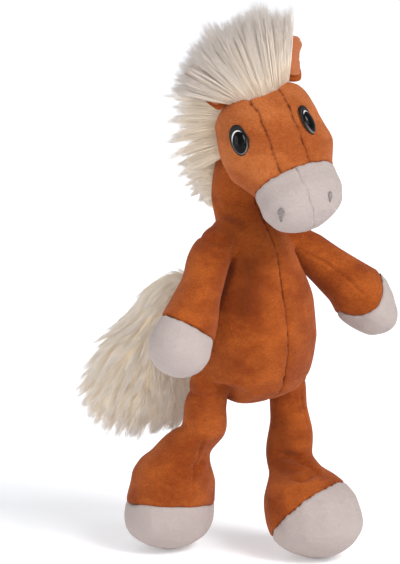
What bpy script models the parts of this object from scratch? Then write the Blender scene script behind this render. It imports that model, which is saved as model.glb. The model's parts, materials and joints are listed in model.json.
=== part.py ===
"""A plush horse that stands on two boot-shaped feet, with floppy limbs, a turning head and fur.

Front is -Y, the horse's own left is +X, up is +Z, and the floor is the plane z = 0.
Skins are sewn shells with a filling inside. Limbs, neck and tail end in round roots that sit in
matching hollows, so that they turn in their seams as the stuffed ones do.
"""

import math

import bmesh
import bpy
from mathutils import Matrix, Vector
from mathutils.bvhtree import BVHTree

# General sizes
GAP = 0.0003
SKIN = 0.0018
CUT_MARGIN = 0.02
SOLE_FLAT = 0.0005

# Trunk: heights, places and half sizes of its sections
TRUNK_BOTTOM_Z = 0.116
TRUNK_BOTTOM_CAP = 0.0175
TRUNK_HIP_HALF_WIDTH = 0.0365
TRUNK_HIP_HALF_DEPTH = 0.0325
BELLY_Z = 0.138
BELLY_Y = -0.003
BELLY_HALF_WIDTH = 0.040
BELLY_HALF_DEPTH = 0.037
WAIST_Z = 0.162
WAIST_HALF_WIDTH = 0.037
WAIST_HALF_DEPTH = 0.0325
CHEST_Z = 0.185
CHEST_Y = -0.0045
CHEST_HALF_WIDTH = 0.0275
CHEST_HALF_DEPTH = 0.0255
SHOULDER_LINE_Z = 0.202
SHOULDER_LINE_Y = -0.001
SHOULDER_LINE_HALF_WIDTH = 0.0205
SHOULDER_LINE_HALF_DEPTH = 0.0215
NECK_Z = 0.222
NECK_Y = 0.012
NECK_HALF_WIDTH = 0.0172

# Neck and head seat
HEAD_PIVOT = Vector((0.0, 0.010, 0.241))
NECK_BALL_RADIUS = 0.0165
NECK_WAD_RADIUS = 0.009

# Head, in its own frame: centre of the skull, -Y to the nose, +Z to the crown
SKULL_CENTRE = Vector((-0.0015, -0.0215, 0.2680))
HEAD_YAW = math.radians(-20)
HEAD_ROLL = math.radians(-17)
HEAD_LEAN = math.radians(-40)
SKULL_HALF_WIDTH = 0.0340
SKULL_HALF_DEPTH = 0.0325
SKULL_CROWN = 0.033
CHEEK_DROP = 0.018
CHEEK_HALF_WIDTH = 0.0342
CHEEK_HALF_DEPTH = 0.0285
MUZZLE_SEAM_DROP = 0.034
MUZZLE_SEAM_HALF_WIDTH = 0.0262
MUZZLE_SEAM_HALF_DEPTH = 0.0195
MUZZLE_DROP = 0.0505
MUZZLE_HALF_WIDTH = 0.0268
MUZZLE_HALF_DEPTH = 0.0205
MUZZLE_TIP = 0.0165
GUSSET_HALF_WIDTH = 0.0097
GUSSET_BACK = 0.0031

# Eyes and nostrils
EYE_SIDE = 0.0220
EYE_HEIGHT = 0.0070
EYE_RADIUS = 0.0062
EYE_TALL = 0.0078
EYE_BULGE = 0.0042
FELT_RIM = 0.0016
FELT_THICKNESS = 0.0010
EYE_SHANK_RADIUS = 0.0016
EYE_SHANK_LENGTH = 0.0095
EYE_WASHER_RADIUS = 0.0055
EYE_WASHER_THICKNESS = 0.0014
NOSTRIL_SIDE = 0.0145
NOSTRIL_RADIUS = 0.0030
NOSTRIL_THICKNESS = 0.0010

# Ears
EAR_SIDE = 0.0205
EAR_SPLAY = math.radians(24)
EAR_BACK = math.radians(10)
EAR_ROOT_HALF_WIDTH = 0.0062
EAR_HALF_WIDTH = 0.0084
EAR_LENGTH = 0.030
EAR_HALF_THICKNESS = 0.0018
EAR_LINING_HALF_THICKNESS = 0.0009
EAR_BACK_ROOM = 0.011
LEAF_SHARES = ((0.35, 1.0), (0.7, 0.8), (0.92, 0.45))

# Fur: solids of the outer shape of each tuft
FORELOCK_ROOT_HALF_WIDTH = 0.0190
FORELOCK_ROOT_HALF_DEPTH = 0.0140
FORELOCK_HALF_WIDTH = 0.0330
FORELOCK_HALF_DEPTH = 0.0140
FORELOCK_LENGTH = 0.052
FORELOCK_FRONT = 0.005
FORELOCK_SIDE = -0.003
FORELOCK_LEAN = math.radians(5)
MANE_SIDE = -0.007
MANE_HALF_WIDTH = 0.037
MANE_HALF_DEPTH = 0.020
MANE_BACK = 0.034
MANE_TOP = 0.034
MANE_BOTTOM = -0.008
MANE_LIFT = 0.002
NECK_MANE_HALF_WIDTH = 0.024
NECK_MANE_HALF_DEPTH = 0.016
NECK_MANE_BACK = 0.043
NECK_MANE_TOP_Z = 0.231
NECK_MANE_BOTTOM_Z = 0.208

# Tail: root on the back of the trunk, then a plume that falls to the horse's right
TAIL_PIVOT = Vector((0.0, 0.0345, 0.153))
TAIL_ROOT_RADIUS = 0.0085
TAIL_ARCH = Vector((-0.008, 0.0485, 0.157))
TAIL_ARCH_RADIUS = 0.0095
TAIL_CREST = Vector((-0.018, 0.059, 0.148))
TAIL_CREST_RADIUS = 0.0195
TAIL_FALL = Vector((-0.026, 0.071, 0.125))
TAIL_PLUME_RADIUS = 0.0280
TAIL_END = Vector((-0.029, 0.080, 0.099))
TAIL_END_RADIUS = 0.0290

# Arms, in their own frame: the root at the origin, hanging down
SHOULDER_SIDE = 0.0290
SHOULDER_Y = -0.003
SHOULDER_Z = 0.1965
ARM_ROOT_HALF_WIDTH = 0.0105
ARM_ROOT_HALF_DEPTH = 0.0122
ARM_MIDDLE_HALF_WIDTH = 0.0125
ARM_MIDDLE_HALF_DEPTH = 0.0140
ARM_CUFF_DROP = 0.054
ARM_CUFF_RADIUS = 0.0172
ARM_HOOF_DROP = 0.068
ARM_HOOF_RADIUS = 0.0195
ARM_HOOF_TIP = 0.0175
ARM_WAD_RADIUS = 0.0062
CUFF_SLOPE = math.radians(9)
ARM_INNER_SPREAD = math.radians(32)
RIGHT_ARM_SWING = math.radians(-14)
RIGHT_ARM_SPREAD = math.radians(33)
LEFT_ARM_SWING = math.radians(-33)
LEFT_ARM_SPREAD = math.radians(40)

# Legs, standing: the hip above, the foot flat on the floor
HIP_SIDE = 0.0300
HIP_Y = 0.002
HIP_Z = 0.1030
LEG_RADIUS = 0.0113
LEG_WAD_RADIUS = 0.0064
FOOT_HALF_WIDTH = 0.0280
FOOT_HALF_LENGTH = 0.0315
FOOT_WIDEST_Z = 0.019
SOLE_ROUND = 0.009
ANKLE_RADIUS = 0.0121
RIGHT_FOOT = Vector((-0.0345, 0.0385, 0.0))
RIGHT_FOOT_HEADING = math.radians(-46)
RIGHT_ANKLE = Vector((-0.0302, 0.0090, 0.080))
RIGHT_HOOF_HEIGHT = 0.029
RIGHT_HOOF_SLOPE = math.radians(9)
LEFT_FOOT = Vector((0.0258, -0.0330, 0.0))
LEFT_FOOT_HEADING = math.radians(14)
LEFT_ANKLE = Vector((0.0283, -0.0050, 0.059))
LEFT_HOOF_HEIGHT = 0.034
LEFT_HOOF_SLOPE = math.radians(40)

# How finely the round forms are divided
TRUNK_SIDES = 22
HEAD_SIDES = 22
LIMB_SIDES = 14
FUR_SIDES = 12
SMALL_SIDES = 10
WAD_SIDES = 12
CAP_STEPS = 3
RELIEF_STEPS = 21

COLOURS = {
    "brown": (0.36, 0.10, 0.022, 1.0),
    "ear_pale": (0.52, 0.26, 0.15, 1.0),
    "white": (0.60, 0.52, 0.49, 1.0),
    "fur": (0.64, 0.52, 0.41, 1.0),
    "filling": (0.80, 0.80, 0.78, 1.0),
    "eye": (0.01, 0.01, 0.012, 1.0),
    "felt": (0.02, 0.017, 0.016, 1.0),
    "stitch": (0.34, 0.30, 0.29, 1.0),
    "washer": (0.75, 0.75, 0.72, 1.0),
}
GLOSSY = ("eye",)


def clear_scene():
    for thing in list(bpy.data.objects):
        bpy.data.objects.remove(thing)


def material(name):
    """One surface of the toy: its colour, and a gloss only for the plastic eyes."""
    finish = bpy.data.materials.get(name)
    if finish is None:
        finish = bpy.data.materials.new(name)
        finish.use_nodes = True
        shader = finish.node_tree.nodes["Principled BSDF"]
        shader.inputs["Base Color"].default_value = COLOURS[name]
        shader.inputs["Roughness"].default_value = 0.15 if name in GLOSSY else 0.9
        shader.inputs["Metallic"].default_value = 0.0
    return finish


def add_object(name, form, colour):
    """Puts a bmesh into the scene as one named object."""
    bmesh.ops.recalc_face_normals(form, faces=form.faces[:])
    mesh = bpy.data.meshes.new(name)
    form.to_mesh(mesh)
    form.free()
    mesh.materials.append(material(colour))
    thing = bpy.data.objects.new(name, mesh)
    bpy.context.scene.collection.objects.link(thing)
    return thing


def rings_to_form(rings, low_pole, high_pole):
    """Joins rings of points, listed from low to high, into one closed form."""
    form = bmesh.new()
    low = form.verts.new(low_pole)
    high = form.verts.new(high_pole)
    loops = [[form.verts.new(point) for point in ring] for ring in rings]
    count = len(loops[0])
    for index in range(count):
        after = (index + 1) % count
        form.faces.new((low, loops[0][after], loops[0][index]))
        form.faces.new((high, loops[-1][index], loops[-1][after]))
        for lower, upper in zip(loops, loops[1:]):
            form.faces.new((lower[index], lower[after], upper[after], upper[index]))
    return form


def z_between(low, high, share):
    """The height at a share of the way from low to high."""
    return low + (high - low) * share


def section(centre, half_width, half_depth, sides, turn=0.0):
    """One level ring: an ellipse, turned about the vertical."""
    across = Vector((math.cos(turn), math.sin(turn), 0.0))
    along = Vector((-math.sin(turn), math.cos(turn), 0.0))
    points = []
    for index in range(sides):
        angle = 2 * math.pi * index / sides
        points.append(
            centre
            + across * (half_width * math.cos(angle))
            + along * (half_depth * math.sin(angle))
        )
    return points


def between(before, start, end, after, share):
    """A smooth value between start and end, as a Catmull-Rom curve runs."""
    slope_in = (end - before) / 2
    slope_out = (after - start) / 2
    square = share * share
    cube = square * share
    return (
        start * (2 * cube - 3 * square + 1)
        + slope_in * (cube - 2 * square + share)
        + end * (3 * square - 2 * cube)
        + slope_out * (cube - square)
    )


def smooth_stations(stations, steps):
    """More stations between the given ones, each a (centre, half width, half depth)."""
    result = []
    last = len(stations) - 1
    for index in range(last):
        around = (
            stations[max(index - 1, 0)],
            stations[index],
            stations[index + 1],
            stations[min(index + 2, last)],
        )
        for step in range(steps):
            share = step / steps
            result.append(
                tuple(between(*(place[part] for place in around), share) for part in range(3))
            )
    result.append(stations[-1])
    return result


def swelling_form(stations, low_cap, high_cap, sides, inset=0.0, steps=2, turn=0.0):
    """A form that swells and tapers through its stations, with a round cap on each end."""
    stations = [
        (centre, width - inset, depth - inset)
        for centre, width, depth in smooth_stations(stations, steps)
    ]
    up = Vector((0.0, 0.0, 1.0))
    rings = []
    for step in range(1, CAP_STEPS):
        angle = math.pi / 2 * step / CAP_STEPS
        centre, width, depth = stations[0]
        rings.append(
            section(
                centre - up * ((low_cap - inset) * math.cos(angle)),
                width * math.sin(angle),
                depth * math.sin(angle),
                sides,
                turn,
            )
        )
    for centre, width, depth in stations:
        rings.append(section(centre, width, depth, sides, turn))
    for step in range(1, CAP_STEPS):
        angle = math.pi / 2 * step / CAP_STEPS
        centre, width, depth = stations[-1]
        rings.append(
            section(
                centre + up * ((high_cap - inset) * math.sin(angle)),
                width * math.cos(angle),
                depth * math.cos(angle),
                sides,
                turn,
            )
        )
    low_pole = stations[0][0] - up * (low_cap - inset)
    high_pole = stations[-1][0] + up * (high_cap - inset)
    return rings_to_form(rings, low_pole, high_pole)


def moved(form, matrix):
    bmesh.ops.transform(form, matrix=matrix, verts=form.verts[:])
    return form


def ball(centre, radius, sides=LIMB_SIDES, squash=(1.0, 1.0, 1.0)):
    form = bmesh.new()
    bmesh.ops.create_uvsphere(form, u_segments=sides, v_segments=sides // 2, radius=radius)
    place = Matrix.Translation(centre) @ Matrix.Diagonal((*squash, 1.0))
    return moved(form, place)


def room_radius(radius, sides):
    """The radius of a faceted hollow in which a faceted ball of a given radius can turn."""
    return (radius + GAP) / math.cos(math.pi / sides) ** 2


def block(low, high):
    form = bmesh.new()
    bmesh.ops.create_cube(form, size=1.0)
    low = Vector(low)
    high = Vector(high)
    size = high - low
    return moved(form, Matrix.Translation((low + high) / 2) @ Matrix.Diagonal((*size, 1.0)))


def shape_with(thing, form, operation):
    """Cuts a form or another object out of an object, or keeps only what lies in it."""
    tool = form if isinstance(form, bpy.types.Object) else add_object("tool", form, "filling")
    change = thing.modifiers.new("shape", "BOOLEAN")
    change.operation = operation
    change.solver = "EXACT"
    change.object = tool
    graph = bpy.context.evaluated_depsgraph_get()
    mesh = bpy.data.meshes.new_from_object(thing.evaluated_get(graph))
    thing.modifiers.clear()
    thing.data = mesh
    bpy.data.objects.remove(tool)
    return thing


def cut(thing, form):
    return shape_with(thing, form, "DIFFERENCE")


def keep(thing, form):
    return shape_with(thing, form, "INTERSECT")


def half_space(matrix, reach, above=True):
    """All that lies above, or below, a plane: the level plane of a placing matrix."""
    low = (-reach, -reach, 0.0 if above else -reach)
    high = (reach, reach, reach if above else 0.0)
    return moved(block(low, high), matrix)


def set_origin(thing, point):
    """Moves an object's own origin to a point, with its shape left in place."""
    thing.data.transform(Matrix.Translation(-point))
    thing.location = point


def body_reach():
    """A length that is more than the whole toy measures, from any point of it."""
    return HEAD_PIVOT.z + HEAD_PIVOT.z


def trunk_stations():
    return [
        (Vector((0, BELLY_Y, TRUNK_BOTTOM_Z)), TRUNK_HIP_HALF_WIDTH, TRUNK_HIP_HALF_DEPTH),
        (Vector((0, BELLY_Y, BELLY_Z)), BELLY_HALF_WIDTH, BELLY_HALF_DEPTH),
        (Vector((0, BELLY_Y, WAIST_Z)), WAIST_HALF_WIDTH, WAIST_HALF_DEPTH),
        (Vector((0, CHEST_Y, CHEST_Z)), CHEST_HALF_WIDTH, CHEST_HALF_DEPTH),
        (
            Vector((0, SHOULDER_LINE_Y, SHOULDER_LINE_Z)),
            SHOULDER_LINE_HALF_WIDTH,
            SHOULDER_LINE_HALF_DEPTH,
        ),
        (Vector((0, NECK_Y, NECK_Z)), NECK_HALF_WIDTH, NECK_HALF_WIDTH),
        (HEAD_PIVOT.copy(), NECK_BALL_RADIUS, NECK_BALL_RADIUS),
    ]


def trunk_form(inset):
    return swelling_form(
        trunk_stations(), TRUNK_BOTTOM_CAP, NECK_BALL_RADIUS, TRUNK_SIDES, inset
    )


def head_matrix():
    """From the head's own frame to the toy's."""
    turn = Matrix.Rotation(HEAD_YAW, 4, "Z") @ Matrix.Rotation(HEAD_ROLL, 4, "Y")
    return Matrix.Translation(SKULL_CENTRE) @ turn


def head_axis_matrix():
    """As head_matrix, with +Z along the line from the muzzle to the crown."""
    return head_matrix() @ Matrix.Rotation(HEAD_LEAN, 4, "X")


def head_form(inset):
    def at(drop):
        return Vector((0, 0, -drop))

    stations = [
        (at(MUZZLE_DROP), MUZZLE_HALF_WIDTH, MUZZLE_HALF_DEPTH),
        (at(MUZZLE_SEAM_DROP), MUZZLE_SEAM_HALF_WIDTH, MUZZLE_SEAM_HALF_DEPTH),
        (at(CHEEK_DROP), CHEEK_HALF_WIDTH, CHEEK_HALF_DEPTH),
        (at(0), SKULL_HALF_WIDTH, SKULL_HALF_DEPTH),
    ]
    form = swelling_form(stations, MUZZLE_TIP, SKULL_CROWN, HEAD_SIDES, inset)
    return moved(form, head_axis_matrix())


def neck_room(clearance):
    radius = room_radius(NECK_BALL_RADIUS + clearance, TRUNK_SIDES)
    return ball(HEAD_PIVOT, radius, TRUNK_SIDES)


def wad_socket(pivot, radius, direction, reach):
    """A hollow for a root wad: round at the pivot and open along a direction."""
    turn = Vector((0, 0, 1)).rotation_difference(direction).to_matrix().to_4x4()
    room = room_radius(radius, WAD_SIDES)
    form = ball(Vector((0, 0, 0)), room, WAD_SIDES)
    upper = [vert for vert in form.verts if vert.co.z > GAP]
    bmesh.ops.translate(form, vec=(0, 0, reach), verts=upper)
    return moved(form, Matrix.Translation(pivot) @ turn)


def arm_matrix(side, spread=None):
    """From the hanging arm's own frame to the toy's: side is 1 on the horse's left."""
    swing = LEFT_ARM_SWING if side > 0 else RIGHT_ARM_SWING
    if spread is None:
        spread = LEFT_ARM_SPREAD if side > 0 else RIGHT_ARM_SPREAD
    pivot = Vector((side * SHOULDER_SIDE, SHOULDER_Y, SHOULDER_Z))
    turn = Matrix.Rotation(swing, 4, "X") @ Matrix.Rotation(-side * spread, 4, "Y")
    return Matrix.Translation(pivot) @ turn


def arm_form(side, inset, spread=None):
    """The whole arm: a flattened root, a sleeve that swells and a round hoof."""
    stations = [
        (Vector((0, 0, -ARM_HOOF_DROP)), ARM_HOOF_RADIUS, ARM_HOOF_RADIUS),
        (Vector((0, 0, -ARM_CUFF_DROP)), ARM_CUFF_RADIUS, ARM_CUFF_RADIUS),
        (Vector((0, 0, -ARM_CUFF_DROP / 2)), ARM_MIDDLE_HALF_WIDTH, ARM_MIDDLE_HALF_DEPTH),
        (Vector((0, 0, 0)), ARM_ROOT_HALF_WIDTH, ARM_ROOT_HALF_DEPTH),
    ]
    form = swelling_form(stations, ARM_HOOF_TIP, ARM_ROOT_HALF_WIDTH, LIMB_SIDES, inset)
    return moved(form, arm_matrix(side, spread))


def turned_relief(form, pivot, clearance, reach, root):
    """The room that a limb, past its round root, sweeps as it swings about a side-to-side line."""
    side = math.copysign(1.0, pivot.x)
    steps = RELIEF_STEPS
    inner = []
    for step in range(steps + 1):
        radius = reach * step / steps
        inner.append([radius, reach])
    for face in form.faces:
        corners = [vert.co for vert in face.verts]
        for start, end in zip(corners, corners[1:] + corners[:1]):
            for part in range(steps + 1):
                point = start.lerp(end, part / steps) - pivot
                if point.length < root:
                    continue
                radius = math.hypot(point.y, point.z)
                depth = point.x * side
                slot = int(radius / reach * steps + 0.5)
                if slot <= steps:
                    for near in (slot - 1, slot, slot + 1):
                        if 0 <= near <= steps:
                            inner[near][1] = min(inner[near][1], depth)
    form.free()
    rings = []
    for radius, depth in inner[1:]:
        if depth < reach:
            rings.append((radius + clearance, depth - clearance))
    count = LIMB_SIDES
    turned = []
    for radius, depth in rings:
        turned.append(
            [
                pivot
                + Vector(
                    (
                        side * depth,
                        radius * math.cos(2 * math.pi * index / count),
                        radius * math.sin(2 * math.pi * index / count),
                    )
                )
                for index in range(count)
            ]
        )
    rim = rings[-1][0]
    turned.append(
        [
            pivot
            + Vector(
                (
                    side * reach,
                    rim * math.cos(2 * math.pi * index / count),
                    rim * math.sin(2 * math.pi * index / count),
                )
            )
            for index in range(count)
        ]
    )
    bottom = pivot + Vector((side * rings[0][1], 0, 0))
    top = pivot + Vector((side * reach, 0, 0))
    return rings_to_form(turned, bottom, top)


def leg_setting(side):
    """Foot place, heading, ankle, hoof height and hoof slope of one leg."""
    if side > 0:
        return LEFT_FOOT, LEFT_FOOT_HEADING, LEFT_ANKLE, LEFT_HOOF_HEIGHT, LEFT_HOOF_SLOPE
    return RIGHT_FOOT, RIGHT_FOOT_HEADING, RIGHT_ANKLE, RIGHT_HOOF_HEIGHT, RIGHT_HOOF_SLOPE


def hip_pivot(side):
    return Vector((side * HIP_SIDE, HIP_Y, HIP_Z))


def leg_form(side, inset):
    """A leg that stands: a round tube from the hip, opening into a boot-shaped foot."""
    foot, heading, ankle, _, _ = leg_setting(side)
    sole_share = 0.965
    instep_share = 0.84
    instep_rise_share = 0.5
    instep_run_share = 0.18
    flare_share = 0.40
    flare_rise_share = 0.75
    flare_run_share = 0.48

    def foot_station(z, to_ankle, size_share):
        centre = foot.lerp(ankle, to_ankle)
        centre.z = z
        width = FOOT_HALF_WIDTH * size_share + ANKLE_RADIUS * (1 - size_share)
        depth = FOOT_HALF_LENGTH * size_share + ANKLE_RADIUS * (1 - size_share)
        return centre, width, depth

    stations = [
        foot_station(SOLE_ROUND, 0.0, sole_share),
        foot_station(FOOT_WIDEST_Z, 0.0, 1.0),
        foot_station(z_between(FOOT_WIDEST_Z, ankle.z, instep_rise_share), instep_run_share, instep_share),
        foot_station(z_between(FOOT_WIDEST_Z, ankle.z, flare_rise_share), flare_run_share, flare_share),
        (ankle, ANKLE_RADIUS, ANKLE_RADIUS),
        (hip_pivot(side), LEG_RADIUS, LEG_RADIUS),
    ]
    return swelling_form(stations, SOLE_ROUND, LEG_RADIUS, LIMB_SIDES, inset, 2, heading)


def leg_relief(side, radius, inset):
    """The room under the trunk for a leg, from standing to sitting with the leg forward."""
    hip = hip_pivot(side)
    form = bmesh.new()
    outline = []
    steps = LIMB_SIDES // 2
    for step in range(steps + 1):
        angle = math.pi * step / steps
        outline.append((radius * math.cos(angle), radius * math.sin(angle)))
    outline.append((-radius, -HIP_Z))
    outline.append((radius, -HIP_Z))
    forward = BELLY_HALF_DEPTH + CUT_MARGIN
    front = [form.verts.new(hip + Vector((x, -forward, z))) for x, z in outline]
    back = [form.verts.new(hip + Vector((x, inset, z))) for x, z in outline]
    form.faces.new(front)
    form.faces.new(reversed(back))
    count = len(outline)
    for index in range(count):
        after = (index + 1) % count
        form.faces.new((front[index], back[index], back[after], front[after]))
    return form


def arm_room(side, clearance):
    """The hollow in the trunk's side that the arm's sleeve swings in."""
    pivot = arm_matrix(side).to_translation()
    arm = arm_form(side, 0.0, ARM_INNER_SPREAD)
    reach = BELLY_HALF_WIDTH + CUT_MARGIN
    return turned_relief(arm, pivot, GAP + clearance, reach, ARM_ROOT_HALF_DEPTH + GAP)


def shoulder_room(side, clearance):
    """The hollow in the trunk's side that the arm's flattened round root turns in."""
    pivot = arm_matrix(side).to_translation()
    across = room_radius(ARM_ROOT_HALF_WIDTH, LIMB_SIDES) + clearance
    radius = room_radius(ARM_ROOT_HALF_DEPTH, LIMB_SIDES) + clearance
    return ball(pivot, radius, LIMB_SIDES, (across / radius, 1.0, 1.0))


def trunk_solid(name, inset, colour):
    """The trunk at a depth under its surface, with a dent for each limb and the tail."""
    trunk = add_object(name, trunk_form(inset), colour)
    for side in (1, -1):
        hip_room = room_radius(LEG_RADIUS, LIMB_SIDES) + inset
        cut(trunk, arm_room(side, inset))
        cut(trunk, shoulder_room(side, inset))
        cut(trunk, ball(hip_pivot(side), hip_room))
        cut(trunk, leg_relief(side, hip_room, inset))
    cut(trunk, ball(TAIL_PIVOT, room_radius(TAIL_ROOT_RADIUS, FUR_SIDES) + inset, FUR_SIDES))
    return trunk


def build_trunk():
    """Two sewn panels round one filling, with a socket in the neck for its wad."""
    reach = body_reach()
    up = (HEAD_PIVOT - Vector((0, NECK_Y, NECK_Z))).normalized()
    pieces = [trunk_solid("trunk_filling", SKIN + GAP, "filling")]
    for side, name in ((1, "trunk_panel_left"), (-1, "trunk_panel_right")):
        panel = trunk_solid(name, 0.0, "brown")
        cut(panel, trunk_solid("hollow", SKIN, "filling"))
        low = (GAP / 2, -reach, -reach) if side > 0 else (-reach, -reach, -reach)
        high = (reach, reach, reach) if side > 0 else (-GAP / 2, reach, reach)
        keep(panel, block(low, high))
        pieces.append(panel)
    for thing in pieces:
        cut(thing, wad_socket(HEAD_PIVOT, NECK_WAD_RADIUS, up, NECK_BALL_RADIUS))


def build_arm(side, word):
    """A sleeve and a hoof cap round one filling, with a root wad in the shoulder."""
    matrix = arm_matrix(side)
    pivot = matrix.to_translation()
    reach = body_reach()
    inward = Vector((-side, 0, 0))
    slope = Matrix.Rotation(CUFF_SLOPE * side, 4, "Y")
    plane = matrix @ Matrix.Translation((0, 0, -ARM_CUFF_DROP)) @ slope
    lower = Matrix.Translation((0, 0, -GAP)) @ plane
    socket = (pivot, ARM_WAD_RADIUS, inward, ARM_ROOT_HALF_DEPTH)
    sleeve = add_object(f"{word}_arm_sleeve", arm_form(side, 0.0), "brown")
    cut(sleeve, arm_form(side, SKIN))
    keep(sleeve, half_space(plane, reach, True))
    hoof = add_object(f"{word}_arm_hoof", arm_form(side, 0.0), "white")
    cut(hoof, arm_form(side, SKIN))
    keep(hoof, half_space(lower, reach, False))
    filling = add_object(f"{word}_arm_filling", arm_form(side, SKIN + GAP), "filling")
    cut(sleeve, wad_socket(*socket))
    cut(filling, wad_socket(*socket))
    wad = add_object(f"{word}_shoulder_wad", ball(pivot, ARM_WAD_RADIUS, WAD_SIDES), "filling")
    for thing in (sleeve, hoof, filling, wad):
        set_origin(thing, pivot)


def build_leg(side, word):
    """A leg skin and a hoof cap round one filling, with a root wad in the hip."""
    foot, heading, _, height, rise = leg_setting(side)
    pivot = hip_pivot(side)
    reach = body_reach()
    turn = Matrix.Rotation(heading, 4, "Z") @ Matrix.Rotation(-rise, 4, "X")
    plane = Matrix.Translation(foot + Vector((0, 0, height))) @ turn
    lower = plane @ Matrix.Translation((0, 0, -GAP))
    up = Vector((0, 0, 1))
    floor = block((-reach, -reach, SOLE_FLAT), (reach, reach, reach))
    skin = add_object(f"{word}_leg_skin", leg_form(side, 0.0), "brown")
    cut(skin, leg_form(side, SKIN))
    keep(skin, half_space(plane, reach, True))
    hoof = add_object(f"{word}_leg_hoof", leg_form(side, 0.0), "white")
    cut(hoof, leg_form(side, SKIN))
    keep(hoof, half_space(lower, reach, False))
    filling = add_object(f"{word}_leg_filling", leg_form(side, SKIN + GAP), "filling")
    cut(skin, wad_socket(pivot, LEG_WAD_RADIUS, up, LEG_RADIUS))
    cut(filling, wad_socket(pivot, LEG_WAD_RADIUS, up, LEG_RADIUS))
    keep(hoof, floor)
    wad = add_object(f"{word}_hip_wad", ball(pivot, LEG_WAD_RADIUS, WAD_SIDES), "filling")
    for thing in (skin, hoof, filling, wad):
        set_origin(thing, pivot)


def gusset_block(clearance):
    """The band over forehead and nose between the two seams, in the toy's frame."""
    reach = body_reach()
    half = GUSSET_HALF_WIDTH + clearance
    form = block((-half, -reach, -reach), (half, GUSSET_BACK + clearance, reach))
    return moved(form, head_axis_matrix())


def build_head():
    """Side panels, forehead gusset and muzzle, sewn round one filling."""
    reach = body_reach()
    axis = head_axis_matrix()
    seam = axis @ Matrix.Translation((0, 0, -MUZZLE_SEAM_DROP))
    below = seam @ Matrix.Translation((0, 0, -GAP))
    skins = []
    for name, colour in (
        ("head_side_left", "brown"),
        ("head_side_right", "brown"),
        ("forehead_gusset", "brown"),
        ("muzzle_left", "white"),
        ("muzzle_right", "white"),
    ):
        skin = add_object(name, head_form(0.0), colour)
        cut(skin, head_form(SKIN))
        keep(skin, half_space(below if colour == "white" else seam, reach, colour == "brown"))
        skins.append(skin)
    left, right, gusset, muzzle_left, muzzle_right = skins
    for thing, side in ((left, 1), (right, -1), (muzzle_left, 1), (muzzle_right, -1)):
        low = (GAP / 2, -reach, -reach) if side > 0 else (-reach, -reach, -reach)
        high = (reach, reach, reach) if side > 0 else (-GAP / 2, reach, reach)
        keep(thing, moved(block(low, high), axis))
    keep(gusset, gusset_block(0.0))
    cut(left, gusset_block(GAP))
    cut(right, gusset_block(GAP))
    filling = add_object("head_filling", head_form(SKIN + GAP), "filling")
    for thing in (left, right, filling):
        cut(thing, neck_room(0.0))
    wad = add_object("neck_wad", ball(HEAD_PIVOT, NECK_WAD_RADIUS, WAD_SIDES), "filling")
    pieces = [*skins, filling, wad]
    pieces += build_eyes([left, right, filling])
    pieces += build_nostrils([muzzle_left, muzzle_right, filling])
    pieces += build_forelock()
    pieces += build_head_mane()
    for thing in pieces:
        set_origin(thing, HEAD_PIVOT)


def surface_point(form, start, direction):
    """Where a straight line first meets a form, with the face's outward direction."""
    tree = BVHTree.FromBMesh(form)
    point, normal, _, _ = tree.ray_cast(start, direction.normalized())
    form.free()
    return point, normal


def on_head(side_place, height):
    """A point of the head's front surface and its outward direction, in the toy's frame."""
    matrix = head_matrix()
    start = matrix @ Vector((side_place, -body_reach(), height))
    back = matrix.to_3x3() @ Vector((0, 1, 0))
    point, normal = surface_point(head_form(0.0), start, back)
    return point, (normal + (point - SKULL_CENTRE).normalized()).normalized()


def facing(point, normal):
    """A matrix that puts local +Z along a surface's outward direction."""
    turn = Vector((0, 0, 1)).rotation_difference(normal).to_matrix().to_4x4()
    return Matrix.Translation(point) @ turn


def disc(radius, low, high, sides, squash=(1.0, 1.0)):
    form = bmesh.new()
    bmesh.ops.create_cone(
        form, cap_ends=True, segments=sides, radius1=radius, radius2=radius, depth=high - low
    )
    place = Matrix.Translation((0, 0, (low + high) / 2)) @ Matrix.Diagonal((*squash, 1.0, 1.0))
    return moved(form, place)


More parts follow.
